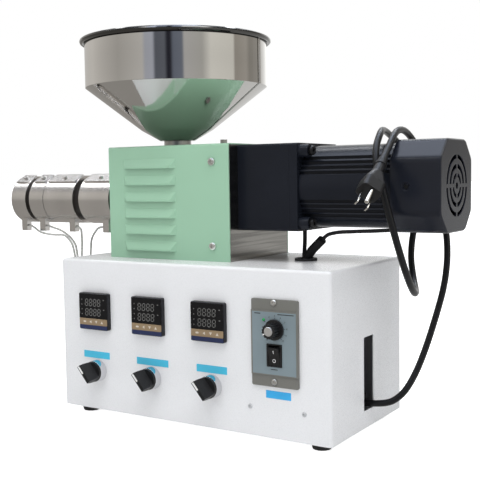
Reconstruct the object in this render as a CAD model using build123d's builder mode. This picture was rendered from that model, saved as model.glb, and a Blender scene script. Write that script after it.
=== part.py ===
"""Desktop filament extruder: a white control cabinet on rubber feet, with a heated barrel, a louvred
feed housing, a spun hopper and a fan-cooled gear motor in one line on top of it.

Millimetres, +Z up, Z = 0 at the underside of the feet. X runs from the nozzle end to the fan end, and
the control panel faces -Y. The origin is in the middle of the machine's length and depth.
"""

import os
from math import cos, hypot, pi, radians, sin, sqrt, tan

from build123d import *

os.makedirs("parts", exist_ok=True)

# Cabinet
CABINET_WIDTH = 400.0
CABINET_DEPTH = 200.0
CABINET_HEIGHT = 197.0
CABINET_SHEET = 1.5
CABINET_BEND = 4.0
FOOT_HEIGHT = 10.0
FOOT_TOP_RADIUS = 14.0
FOOT_BOTTOM_RADIUS = 11.0
FOOT_INSET = 25.0
BASE_SHEET = 2.0
FIT_GAP = 0.3

# Cord slot in the right-hand side
SLOT_WIDTH = 28.0
SLOT_HEIGHT = 89.0
SLOT_CENTRE_IN = 100.0
SLOT_SILL = 21.0
SLOT_CORNER = 2.0

# Temperature controllers
CONTROLLER_FACE = 48.0
CONTROLLER_BODY = 44.5
CONTROLLER_CUTOUT = 45.2
CONTROLLER_PROUD = 7.0
CONTROLLER_BODY_DEPTH = 78.0
CONTROLLER_CORNER = 2.5
CONTROLLER_RECESS = 1.2
CONTROLLER_FRAME = 4.0
CONTROLLER_UP = 130.0
CONTROLLER_ACROSS = (59.7, 147.3, 239.0)

# Selector switches
SELECTOR_UP = 51.5
SELECTOR_ACROSS = (59.7, 149.0, 240.0)
SELECTOR_HOLE_RADIUS = 11.1
SELECTOR_BARREL_RADIUS = 10.8
SELECTOR_RING_RADIUS = 14.5
SELECTOR_RING_TOP_RADIUS = 13.6
SELECTOR_RING_HEIGHT = 9.5
SELECTOR_BODY_DEPTH = 38.0
SELECTOR_SHAFT_RADIUS = 6.0
KNOB_RADIUS = 13.0
KNOB_GAP = 0.4
KNOB_DISC = 3.0
KNOB_REACH = 28.7
KNOB_HANDLE_LENGTH = 26.4
KNOB_HANDLE_WIDTH = 4.6
KNOB_HANDLE_ROOT = 13.0
KNOB_TILT = 40.0
KNOB_END_FLAT = 0.6
SHAFT_CLEARANCE = 0.08

# Speed control with its dial and rocker switch
CONTROL_WIDTH = 61.0
CONTROL_HEIGHT = 101.0
CONTROL_ACROSS = 329.7
CONTROL_UP = 111.9
CONTROL_PROUD = 3.0
CONTROL_LABEL_HEIGHT = 75.0
CONTROL_LABEL_RAISE = 1.2
CONTROL_BODY_DEPTH = 60.0
CONTROL_BODY_INSET = 4.0
CONTROL_CORNER = 2.0
DIAL_ACROSS = 1.3
DIAL_UP = 16.1
DIAL_SKIRT_RADIUS = 12.0
DIAL_GRIP_RADIUS = 8.6
DIAL_SKIRT_HEIGHT = 2.5
DIAL_HEIGHT = 14.5
DIAL_CAP_RADIUS = 5.0
DIAL_CAP_RAISE = 0.5
DIAL_SHAFT_RADIUS = 3.0
DIAL_GAP = 0.5
DIAL_SHAFT_LENGTH = 10.0
DIAL_POINTER = 210.0
DIAL_POINTER_WIDTH = 2.2
DIAL_POINTER_FROM = 6.5
DIAL_POINTER_RAISE = 0.6
DIAL_FLUTES = 16
DIAL_FLUTE_RADIUS = 0.9
ROCKER_WIDTH = 14.0
ROCKER_HEIGHT = 21.0
ROCKER_FRAME_WIDTH = 19.6
ROCKER_FRAME_HEIGHT = 26.0
ROCKER_UP = -13.8
ROCKER_ACROSS = 0.5
ROCKER_TILT = 10.0
ROCKER_DEPTH = 13.0
ROCKER_CREST = 3.8
ROCKER_TAIL = 4.0
ROCKER_GAP = 0.4
ROCKER_OPENING_HEIGHT = 23.6
ROCKER_FRAME_RAISE = 1.2
ROCKER_PIVOT_DEPTH = 4.0
ROCKER_BODY_DEPTH = 16.0
ROCKER_PIN_RADIUS = 1.5
LAMP_ACROSS = -13.2
LAMP_UP = 26.8
LAMP_RADIUS = 1.8
LAMP_DEPTH = 4.0
LAMP_PROUD = 1.5

# Feed housing
HOUSING_ACROSS = 50.0
HOUSING_IN = 43.0
HOUSING_LENGTH = 191.0
HOUSING_DEPTH = 146.0
HOUSING_HEIGHT = 146.3
HOUSING_SHEET = 1.5
HOUSING_BEND = 2.5
LOUVRE_COUNT = 6
LOUVRE_PITCH = 21.3
LOUVRE_FIRST_UP = 10.5
LOUVRE_LENGTH = 84.0
LOUVRE_HEIGHT = 12.5
LOUVRE_PROUD = 5.0
LOUVRE_ACROSS = 67.8
LOUVRE_LIP = 2.4
LOUVRE_TAPER = 6.0
LOUVRE_SHEET = 1.2
LOUVRE_ROUND = 2.0
BARREL_HOLE_RADIUS = 32.0
NECK_GAP = 1.0
BOLT_ACROSS = 197.0
BOLT_IN = 100.0
BOLT_RADIUS = 5.0
BOLT_HEIGHT = 7.0
PLATE_THICKNESS = 15.0
HOPPER_ACROSS = 111.0

# Drive line
DRIVE_IN = 116.0
BARREL_UP = 75.0
SHAFT_OFFSET = 16.5
FRAME_SIZE = 106.0
FRAME_CHAMFER = 22.0
FRAME_CORNER = 12.0
GEARBOX_LENGTH = 73.0
GEARBOX_EDGE = 3.0
FLANGE_LENGTH = 11.0
FLANGE_BOSS_RADIUS = 8.0
FLANGE_BOSS_LENGTH = 13.0
FLANGE_BOSS_INSET = 9.5
MOTOR_LENGTH = 118.0
MOTOR_RADIUS = 50.0
FIN_PITCH = 5.8
FIN_GROOVE = 3.6
FIN_DEPTH = 3.5
FIN_FIRST = 16.8
FIN_COUNT = 4
COVER_LENGTH = 59.0
COVER_WALL = 2.0
COVER_LIP = 4.0
COVER_EDGE = 1.5
COVER_SCREW_IN = 18.7
COVER_SCREW_RADIUS = 2.5
COVER_SCREW_SINK = 4.6
COVER_SINK_DEPTH = 1.2
GRILLE_RINGS = ((30.4, 35.4), (19.6, 24.6), (9.8, 14.4))
GRILLE_BAR = 4.0
GRILLE_HOLE_RADIUS = 3.8
FAN_HUB_RADIUS = 13.0
FAN_RADIUS = 42.0
FAN_WIDTH = 14.0
FAN_BLADES = 7
FAN_BLADE = 2.0
FAN_GAP = 8.0
MOTOR_SHAFT_RADIUS = 6.0
MOTOR_SHAFT_SHOULDER = 3.0

# Barrel, screw and heaters
BARREL_RADIUS = 30.0
BARREL_BORE_RADIUS = 17.0
BARREL_REACH = 178.0
DIE_RADIUS = 28.0
DIE_THICKNESS = 6.0
NOZZLE_RADIUS = 10.0
NOZZLE_LENGTH = 12.0
NOZZLE_BORE_RADIUS = 1.25
FLANGE_RADIUS = 42.0
BARREL_FLANGE = 10.0
SCREW_CORE_RADIUS = 11.0
SCREW_CLEARANCE = 0.6
SCREW_PITCH = 32.0
SCREW_FLIGHT = 4.0
SCREW_END_GAP = 6.0
SCREW_ROOT = 1.0
FEED_BLOCK_LENGTH = 74.0
FEED_BLOCK_DEPTH = 84.0
HEATER_RADIUS = 35.0
HEATER_SPANS = ((0.0, 29.0), (37.0, 65.0), (66.0, 124.0), (136.0, 192.0))
HEATER_CLAMP_TILT = 27.0
HEATER_CLAMP_WIDTH = 22.0
HEATER_CLAMP_TOP = 36.0
HEATER_CLAMP_END = 3.0
HEATER_TERMINALS = (11.4, 49.4, 109.3, 173.9)
CLAMP_SCREW_RADIUS = 3.5
CLAMP_SCREW_HEIGHT = 2.5
TERMINAL_SIZE = (11.0, 9.0, 19.0)
TERMINAL_IN = 16.0
TERMINAL_DROP = 47.0

# Hopper
HOPPER_NECK_RADIUS = 18.4
HOPPER_NECK_WALL = 2.0
HOPPER_SHEET = 1.2
HOPPER_BASE_RADIUS = 23.4
HOPPER_KNEE_RADIUS = 48.3
HOPPER_RADIUS = 122.6
HOPPER_RIM_BEAD = 3.2
HOPPER_RIM_SIDES = 10
HOPPER_BASE_UP = 154.8
HOPPER_KNEE_UP = 169.0
HOPPER_CONE_UP = 226.0
HOPPER_RIM_UP = 287.0

# Wiring that stays on the machine
MOTOR_LEAD_RADIUS = 2.6
CONDUIT_RADIUS = 5.6
FAN_LEAD_RADIUS = 2.3
GROMMET_RADIUS = 14.0
GROMMET_HEIGHT = 3.0
GROMMET_ACROSS = 314.0
GROMMET_IN = 104.0
GROMMET_HOLE_RADIUS = 12.3
GROMMET_BORE_RADIUS = 10.9
GROMMET_NECK = 4.0
HEATER_LEAD_RADIUS = 1.5
LEAD_HOLE_RADIUS = 7.0
LEAD_HOLE_IN = 90.0
LEAD_HOLE_UP = 150.0
SIDE_GROMMET_RADIUS = 10.0
SIDE_GROMMET_BORE_RADIUS = 5.5
MOTOR_LEAD_FROM_END = 7.0
LEAD_GAP = 0.6
CONDUIT_ROUTE = ((314.4, 103, 168), (314.8, 102.6, 202), (341, 96, 224.2))
HEATER_LEAD_ROUTES = (
    ((-160.5, 100, 233), (-148, 96, 231), (-128, 89.5, 223), (-100, 88, 220), (-76, 88, 221), (-62, 88, 208),
     (-57, 88, 186), (-50, 87.9, 162), (-32, 87.9, 147.9), (12, 87.9, 147.9)),
    ((-122.5, 100, 233), (-110, 96, 231), (-88, 93, 227), (-70, 93, 217), (-60, 93, 206), (-57, 93, 186),
     (-50, 92.1, 162), (-32, 92.1, 147.9), (12, 92.1, 147.9)),
    ((-62.6, 100, 233), (-54, 98.5, 229), (-46, 91, 210), (-45, 88, 188), (-40, 87.9, 168), (-28, 87.9, 152.1),
     (12, 87.9, 152.1)),
    ((-10.2, 100, 233), (-20, 97, 232), (-30, 93, 217), (-32.5, 93, 189), (-30, 92.1, 170), (-20, 92.1, 152.1),
     (12, 92.1, 152.1)),
)

# Power cord
CORD_RADIUS = 4.0
RUN_SHARE = 0.45
CORD_ROUTE = (
    (372, 107, 25.5), (414, 107, 25.5), (434, 118, 36), (445, 134, 60), (453, 150, 92), (461, 163, 130),
    (468, 174, 168), (468, 185, 206), (461, 194, 243), (447, 199, 277), (430, 195, 307), (415, 177, 333),
    (408, 148, 350), (412, 116, 356), (421, 87, 349.5), (424, 66, 331), (431, 55, 308), (441, 50, 281),
    (450, 49, 250), (459, 50, 218), (463, 65, 186), (459, 96, 164), (448, 131, 162), (434, 157, 175),
    (425, 170, 203), (427, 178, 238), (434, 181, 272), (437, 179, 304), (437, 165, 333), (434, 143, 350),
    (436, 116, 355), (438, 92, 351), (442, 68, 338), (443.3, 26.2, 302.8),
)
ANCHOR_ACROSS = 379.0
ANCHOR_LENGTH = 16.0
ANCHOR_WIDTH = 24.0
ANCHOR_HEIGHT = 33.0
RELIEF_LENGTH = 26.0
RELIEF_RADIUS = 6.5
RELIEF_TIP_RADIUS = 5.0
RELIEF_RING_FROM_PLUG = 14.0
RELIEF_RING_LENGTH = 3.0
PLUG_LENGTH = 31.0
PLUG_NECK = 14.0
PLUG_SHOULDER = 16.0
PLUG_WIDTH = 24.0
PLUG_THICKNESS = 22.0
PLUG_CORNER = 5.0
PLUG_SPREAD = (0.649, 0.498, -0.576)
BLADE_LENGTH = 17.0
BLADE_WIDTH = 6.3
BLADE_THICKNESS = 1.5
BLADE_SPACING = 12.7
BLADE_DROP = 5.0
EARTH_PIN_RADIUS = 2.4
EARTH_PIN_LENGTH = 20.0
EARTH_PIN_OFFSET = 11.9

# Places that follow from the sizes above
NOZZLE_X = -(BARREL_REACH + NOZZLE_LENGTH)
FAN_END_X = (HOUSING_ACROSS + HOUSING_LENGTH + GEARBOX_LENGTH + FLANGE_LENGTH + MOTOR_LENGTH
             + COVER_LENGTH)
HOPPER_OUTER_RADIUS = HOPPER_RADIUS + 2 * HOPPER_RIM_BEAD
LEFT = -(NOZZLE_X + FAN_END_X) / 2
FRONT = -(DRIVE_IN + HOPPER_OUTER_RADIUS - KNOB_REACH) / 2
RIGHT = LEFT + CABINET_WIDTH
BACK = FRONT + CABINET_DEPTH
CABINET_TOP = FOOT_HEIGHT + CABINET_HEIGHT
DRIVE_Y = FRONT + DRIVE_IN
BARREL_Z = CABINET_TOP + BARREL_UP
MOTOR_Z = BARREL_Z + SHAFT_OFFSET
BARREL_END_X = LEFT - BARREL_REACH
HOUSING_X = LEFT + HOUSING_ACROSS
HOUSING_Y = FRONT + HOUSING_IN
HOUSING_RIGHT_X = HOUSING_X + HOUSING_LENGTH
GEARBOX_X = HOUSING_RIGHT_X
MOTOR_X = GEARBOX_X + GEARBOX_LENGTH + FLANGE_LENGTH
COVER_X = MOTOR_X + MOTOR_LENGTH
HOPPER_X = LEFT + HOPPER_ACROSS
ROOF_Z = CABINET_TOP + HOUSING_HEIGHT
FEED_X = HOPPER_X - FEED_BLOCK_LENGTH / 2

# Leads to the motor and the fan, in points from the cabinet's corner as all routes are
GEARBOX_END = HOUSING_ACROSS + HOUSING_LENGTH + GEARBOX_LENGTH
COVER_START = GEARBOX_END + FLANGE_LENGTH + MOTOR_LENGTH
MOTOR_UNDERSIDE = CABINET_HEIGHT + BARREL_UP + SHAFT_OFFSET - FRAME_SIZE / 2
MOTOR_LEAD_ROUTE = (
    (GEARBOX_END - MOTOR_LEAD_FROM_END, DRIVE_IN - 1, MOTOR_UNDERSIDE),
    (GEARBOX_END - MOTOR_LEAD_FROM_END, DRIVE_IN - 1, MOTOR_UNDERSIDE - 15),
    (308.6, 109.4, 203), (308.6, 109.4, 180),
)
FAN_LEAD_ROUTE = (
    CONDUIT_ROUTE[-1], (350, 93, MOTOR_UNDERSIDE - 4.6), (366, 90, MOTOR_UNDERSIDE - 1.3),
    (COVER_START - 54, 90, MOTOR_UNDERSIDE - 0.1), (COVER_START - 30, 90, MOTOR_UNDERSIDE + 1),
    (COVER_START - LEAD_GAP, 90, MOTOR_UNDERSIDE + 3.1),
)


def facing_front(x, y, z):
    """A plane seen from the front, with its X across and its Y up."""
    return Plane(origin=(x, y, z), x_dir=(1, 0, 0), z_dir=(0, -1, 0))


def facing_right(x, y, z):
    """A plane square to the drive line, with its X to the back and its Y up."""
    return Plane(origin=(x, y, z), x_dir=(0, 1, 0), z_dir=(1, 0, 0))


def largest_radii(points):
    """The largest arc at each corner that its two runs leave room for."""
    radii = []
    for before, corner, after in zip(points, points[1:], points[2:]):
        first = Vector(*corner) - Vector(*before)
        second = Vector(*after) - Vector(*corner)
        half_turn = radians(first.get_angle(second)) / 2
        radii.append(RUN_SHARE * min(first.length, second.length) / tan(half_turn))
    return radii


def from_corner(points):
    """Points measured from the cabinet's lower front left corner, in the part's own frame."""
    return [(LEFT + x, FRONT + y, FOOT_HEIGHT + z) for x, y, z in points]


def start_plane(points):
    """The plane at the first point, square to the first run."""
    return Plane(origin=points[0], z_dir=Vector(*points[1]) - Vector(*points[0]))


# Cabinet shell: one folded sheet, open below
with BuildPart() as cabinet:
    with BuildSketch(Plane.XY.offset(FOOT_HEIGHT)):
        with Locations((LEFT + CABINET_WIDTH / 2, FRONT + CABINET_DEPTH / 2)):
            Rectangle(CABINET_WIDTH, CABINET_DEPTH)
    extrude(amount=CABINET_HEIGHT)
    fillet(cabinet.edges().filter_by(Axis.Z) + cabinet.faces().sort_by(Axis.Z)[-1].edges(), CABINET_BEND)
    offset(amount=-CABINET_SHEET, openings=cabinet.faces().sort_by(Axis.Z)[0])
    with BuildSketch(facing_front(LEFT, FRONT, FOOT_HEIGHT)):
        with Locations(*[(x, CONTROLLER_UP) for x in CONTROLLER_ACROSS]):
            Rectangle(CONTROLLER_CUTOUT, CONTROLLER_CUTOUT)
        with Locations(*[(x, SELECTOR_UP) for x in SELECTOR_ACROSS]):
            Circle(SELECTOR_HOLE_RADIUS)
        with Locations((CONTROL_ACROSS, CONTROL_UP)):
            Rectangle(CONTROL_WIDTH - 2 * CONTROL_BODY_INSET, CONTROL_LABEL_HEIGHT)
    extrude(amount=-2 * CABINET_SHEET, mode=Mode.SUBTRACT)
    with BuildSketch(facing_right(RIGHT, FRONT + SLOT_CENTRE_IN, FOOT_HEIGHT + SLOT_SILL + SLOT_HEIGHT / 2)):
        RectangleRounded(SLOT_WIDTH, SLOT_HEIGHT, SLOT_CORNER)
    extrude(amount=-2 * CABINET_SHEET, mode=Mode.SUBTRACT)
    with BuildSketch(Plane.XY.offset(CABINET_TOP)):
        with Locations((LEFT + GROMMET_ACROSS, FRONT + GROMMET_IN)):
            Circle(GROMMET_HOLE_RADIUS)
    extrude(amount=-2 * CABINET_SHEET, mode=Mode.SUBTRACT)
    with BuildSketch(facing_right(LEFT, FRONT + LEAD_HOLE_IN, FOOT_HEIGHT + LEAD_HOLE_UP)):
        Circle(LEAD_HOLE_RADIUS)
    extrude(amount=2 * CABINET_SHEET, mode=Mode.SUBTRACT)
cabinet.part.label = "cabinet"
export_step(cabinet.part, "parts/cabinet.step")

with BuildPart() as base_plate:
    with BuildSketch(Plane.XY.offset(FOOT_HEIGHT)):
        with Locations((LEFT + CABINET_WIDTH / 2, FRONT + CABINET_DEPTH / 2)):
            RectangleRounded(CABINET_WIDTH - 2 * (CABINET_SHEET + FIT_GAP),
                             CABINET_DEPTH - 2 * (CABINET_SHEET + FIT_GAP),
                             CABINET_BEND - CABINET_SHEET)
    extrude(amount=BASE_SHEET)
base_plate.part.label = "base_plate"
export_step(base_plate.part, "parts/base_plate.step")

# Rubber feet: cones that narrow downwards, with the screw's recess below
FOOT_PLACES = {
    "front_left": (LEFT + FOOT_INSET, FRONT + FOOT_INSET),
    "front_right": (RIGHT - FOOT_INSET, FRONT + FOOT_INSET),
    "back_left": (LEFT + FOOT_INSET, BACK - FOOT_INSET),
    "back_right": (RIGHT - FOOT_INSET, BACK - FOOT_INSET),
}
for corner, (foot_x, foot_y) in FOOT_PLACES.items():
    with BuildPart() as foot:
        with BuildSketch(Plane(origin=(foot_x, foot_y, 0), x_dir=(1, 0, 0), z_dir=(0, -1, 0))):
            with BuildLine():
                Polyline((0, FOOT_HEIGHT / 2), (FOOT_BOTTOM_RADIUS / 2, FOOT_HEIGHT / 2),
                         (FOOT_BOTTOM_RADIUS / 2, 0), (FOOT_BOTTOM_RADIUS, 0),
                         (FOOT_TOP_RADIUS, FOOT_HEIGHT), (0, FOOT_HEIGHT), close=True)
            make_face()
        revolve(axis=Axis((foot_x, foot_y, 0), (0, 0, 1)))
    foot.part.label = "foot_" + corner
    export_step(foot.part, "parts/foot_" + corner + ".step")

# Temperature controllers: a bezel over the panel and a case behind it
for number, across in enumerate(CONTROLLER_ACROSS, 1):
    with BuildPart() as controller:
        with BuildSketch(facing_front(LEFT + across, FRONT, FOOT_HEIGHT + CONTROLLER_UP)):
            RectangleRounded(CONTROLLER_FACE, CONTROLLER_FACE, CONTROLLER_CORNER)
        extrude(amount=CONTROLLER_PROUD)
        chamfer(controller.faces().sort_by(Axis.Y)[0].edges(), CONTROLLER_RECESS)
        with BuildSketch(facing_front(LEFT + across, FRONT - CONTROLLER_PROUD, FOOT_HEIGHT + CONTROLLER_UP)):
            RectangleRounded(CONTROLLER_FACE - 2 * CONTROLLER_FRAME, CONTROLLER_FACE - 2 * CONTROLLER_FRAME,
                             CONTROLLER_RECESS)
        extrude(amount=-CONTROLLER_RECESS, mode=Mode.SUBTRACT)
        with BuildSketch(facing_front(LEFT + across, FRONT, FOOT_HEIGHT + CONTROLLER_UP)):
            Rectangle(CONTROLLER_BODY, CONTROLLER_BODY)
        extrude(amount=-CONTROLLER_BODY_DEPTH)
    controller.part.label = "temperature_controller_" + str(number)
    export_step(controller.part, "parts/temperature_controller_" + str(number) + ".step")

# Selector switches: a turned ring with its switch body, and a winged knob that turns in it
for number, across in enumerate(SELECTOR_ACROSS, 1):
    centre_x = LEFT + across
    centre_z = FOOT_HEIGHT + SELECTOR_UP
    with BuildPart() as ring:
        with BuildSketch(facing_front(centre_x, FRONT, centre_z)):
            Circle(SELECTOR_RING_RADIUS)
        with BuildSketch(facing_front(centre_x, FRONT - SELECTOR_RING_HEIGHT, centre_z)):
            Circle(SELECTOR_RING_TOP_RADIUS)
        loft()
        with BuildSketch(facing_front(centre_x, FRONT, centre_z)):
            Circle(SELECTOR_BARREL_RADIUS)
        extrude(amount=-SELECTOR_BODY_DEPTH)
        with BuildSketch(facing_front(centre_x, FRONT - SELECTOR_RING_HEIGHT, centre_z)):
            Circle(SELECTOR_SHAFT_RADIUS + SHAFT_CLEARANCE)
        extrude(amount=-2 * SELECTOR_RING_HEIGHT, mode=Mode.SUBTRACT)
    ring.part.label = "selector_ring_" + str(number)
    export_step(ring.part, "parts/selector_ring_" + str(number) + ".step")

    knob_back = FRONT - SELECTOR_RING_HEIGHT - KNOB_GAP
    handle_start = knob_back - KNOB_DISC
    handle_height = KNOB_REACH - SELECTOR_RING_HEIGHT - KNOB_GAP - KNOB_DISC
    with BuildPart() as knob:
        with BuildSketch(facing_front(centre_x, knob_back, centre_z)):
            Circle(KNOB_RADIUS)
        extrude(amount=KNOB_DISC)
        with BuildSketch(facing_front(centre_x, handle_start, centre_z)):
            Rectangle(KNOB_HANDLE_ROOT, KNOB_HANDLE_LENGTH - 2 * KNOB_END_FLAT, rotation=KNOB_TILT)
        with BuildSketch(facing_front(centre_x, FRONT - KNOB_REACH, centre_z)):
            Rectangle(KNOB_HANDLE_WIDTH, KNOB_HANDLE_LENGTH - 2 * KNOB_END_FLAT, rotation=KNOB_TILT)
        loft()
        with BuildSketch(facing_front(centre_x, handle_start, centre_z)):
            Circle(KNOB_HANDLE_LENGTH / 2)
        extrude(amount=handle_height, mode=Mode.INTERSECT, both=True)
        with BuildSketch(facing_front(centre_x, knob_back, centre_z)):
            Circle(SELECTOR_SHAFT_RADIUS)
        extrude(amount=-1.5 * SELECTOR_RING_HEIGHT)
    knob.part.label = "selector_knob_" + str(number)
    export_step(knob.part, "parts/selector_knob_" + str(number) + ".step")

# Speed control: a case behind the panel, a front plate and the raised label area over it
control_x = LEFT + CONTROL_ACROSS
control_z = FOOT_HEIGHT + CONTROL_UP
label_y = FRONT - CONTROL_PROUD - CONTROL_LABEL_RAISE
dial_x = control_x + DIAL_ACROSS
dial_z = control_z + DIAL_UP
rocker_x = control_x + ROCKER_ACROSS
rocker_z = control_z + ROCKER_UP
lamp_x = control_x + LAMP_ACROSS
lamp_z = control_z + LAMP_UP
with BuildPart() as speed_control:
    with BuildSketch(facing_front(control_x, FRONT, control_z)):
        RectangleRounded(CONTROL_WIDTH, CONTROL_HEIGHT, CONTROL_CORNER)
    extrude(amount=CONTROL_PROUD)
    with BuildSketch(facing_front(control_x, FRONT - CONTROL_PROUD, control_z)):
        Rectangle(CONTROL_WIDTH, CONTROL_LABEL_HEIGHT)
    extrude(amount=CONTROL_LABEL_RAISE)
    with BuildSketch(facing_front(control_x, FRONT, control_z)):
        Rectangle(CONTROL_WIDTH - 2 * (CONTROL_BODY_INSET + FIT_GAP), CONTROL_LABEL_HEIGHT - 2 * FIT_GAP)
    extrude(amount=-CONTROL_BODY_DEPTH)
    with BuildSketch(facing_front(dial_x, label_y, dial_z)):
        Circle(DIAL_SHAFT_RADIUS + SHAFT_CLEARANCE)
    extrude(amount=-2 * DIAL_SHAFT_LENGTH, mode=Mode.SUBTRACT)
    with BuildSketch(facing_front(rocker_x, label_y, rocker_z)):
        Rectangle(ROCKER_FRAME_WIDTH + 2 * FIT_GAP, ROCKER_FRAME_HEIGHT + 2 * FIT_GAP)
    extrude(amount=-ROCKER_BODY_DEPTH, mode=Mode.SUBTRACT)
    with BuildSketch(facing_front(lamp_x, label_y, lamp_z)):
        Circle(LAMP_RADIUS + SHAFT_CLEARANCE)
    extrude(amount=-LAMP_DEPTH, mode=Mode.SUBTRACT)
speed_control.part.label = "speed_control"
export_step(speed_control.part, "parts/speed_control.step")

with BuildPart() as speed_dial:
    with BuildSketch(facing_front(dial_x, label_y - DIAL_GAP, dial_z)):
        Circle(DIAL_SKIRT_RADIUS)
    extrude(amount=DIAL_SKIRT_HEIGHT)
    with BuildSketch(facing_front(dial_x, label_y - DIAL_GAP, dial_z)):
        Circle(DIAL_GRIP_RADIUS)
        with PolarLocations(DIAL_GRIP_RADIUS, DIAL_FLUTES):
            Circle(DIAL_FLUTE_RADIUS, mode=Mode.SUBTRACT)
    extrude(amount=DIAL_HEIGHT)
    with BuildSketch(facing_front(dial_x, label_y - DIAL_GAP - DIAL_SKIRT_HEIGHT, dial_z)):
        with PolarLocations((DIAL_POINTER_FROM + DIAL_SKIRT_RADIUS) / 2, 1, start_angle=DIAL_POINTER):
            Rectangle(DIAL_SKIRT_RADIUS - DIAL_POINTER_FROM, DIAL_POINTER_WIDTH)
    extrude(amount=DIAL_POINTER_RAISE)
    with BuildSketch(facing_front(dial_x, label_y - DIAL_GAP - DIAL_HEIGHT, dial_z)):
        Circle(DIAL_CAP_RADIUS)
    extrude(amount=DIAL_CAP_RAISE)
    with BuildSketch(facing_front(dial_x, label_y - DIAL_GAP, dial_z)):
        Circle(DIAL_SHAFT_RADIUS)
    extrude(amount=-DIAL_SHAFT_LENGTH)
speed_dial.part.label = "speed_dial"
export_step(speed_dial.part, "parts/speed_dial.step")

# Rocker switch: a frame let into the speed control, and a rocker on two pins in its side walls
frame_y = label_y - ROCKER_FRAME_RAISE
pivot_y = frame_y + ROCKER_PIVOT_DEPTH
with BuildPart() as rocker_frame:
    with BuildSketch(facing_front(rocker_x, frame_y, rocker_z)):
        Rectangle(ROCKER_FRAME_WIDTH, ROCKER_FRAME_HEIGHT)
    extrude(amount=-(ROCKER_BODY_DEPTH + ROCKER_FRAME_RAISE))
    with BuildSketch(facing_front(rocker_x, frame_y, rocker_z)):
        Rectangle(ROCKER_WIDTH + 2 * ROCKER_GAP, ROCKER_OPENING_HEIGHT)
    extrude(amount=-ROCKER_DEPTH, mode=Mode.SUBTRACT)
    with BuildSketch(facing_right(rocker_x, pivot_y, rocker_z)):
        Circle(ROCKER_PIN_RADIUS + SHAFT_CLEARANCE)
    extrude(amount=ROCKER_FRAME_WIDTH, both=True, mode=Mode.SUBTRACT)
rocker_frame.part.label = "rocker_frame"
export_step(rocker_frame.part, "parts/rocker_frame.step")

# At rest the lower half is pressed, so the whole outline is tilted about the pins
with BuildPart() as rocker_switch:
    with BuildSketch(Plane(origin=(rocker_x, pivot_y, rocker_z), z_dir=(1, 0, 0),
                           x_dir=(0, cos(radians(ROCKER_TILT)), sin(radians(ROCKER_TILT))))):
        with BuildLine():
            Polyline((-ROCKER_CREST, 0),
                     (-ROCKER_CREST - ROCKER_HEIGHT / 2 * tan(radians(ROCKER_TILT)), ROCKER_HEIGHT / 2),
                     (0, ROCKER_HEIGHT / 2),
                     (ROCKER_TAIL, ROCKER_PIN_RADIUS),
                     (ROCKER_TAIL, -ROCKER_PIN_RADIUS),
                     (0, -ROCKER_HEIGHT / 2),
                     (-ROCKER_CREST - ROCKER_HEIGHT / 2 * tan(radians(ROCKER_TILT)), -ROCKER_HEIGHT / 2),
                     close=True)
        make_face()
    extrude(amount=ROCKER_WIDTH / 2, both=True)
    with BuildSketch(facing_right(rocker_x, pivot_y, rocker_z)):
        Circle(ROCKER_PIN_RADIUS)
    extrude(amount=ROCKER_FRAME_WIDTH / 2 - ROCKER_GAP, both=True)
rocker_switch.part.label = "rocker_switch"
export_step(rocker_switch.part, "parts/rocker_switch.step")

with BuildPart() as indicator_lamp:
    with BuildSketch(facing_front(lamp_x, label_y + LAMP_DEPTH, lamp_z)):
        Circle(LAMP_RADIUS)
    extrude(amount=LAMP_DEPTH + LAMP_PROUD)
    fillet(indicator_lamp.faces().sort_by(Axis.Y)[0].edges(), LAMP_PROUD)
indicator_lamp.part.label = "indicator_lamp"
export_step(indicator_lamp.part, "parts/indicator_lamp.step")

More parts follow.
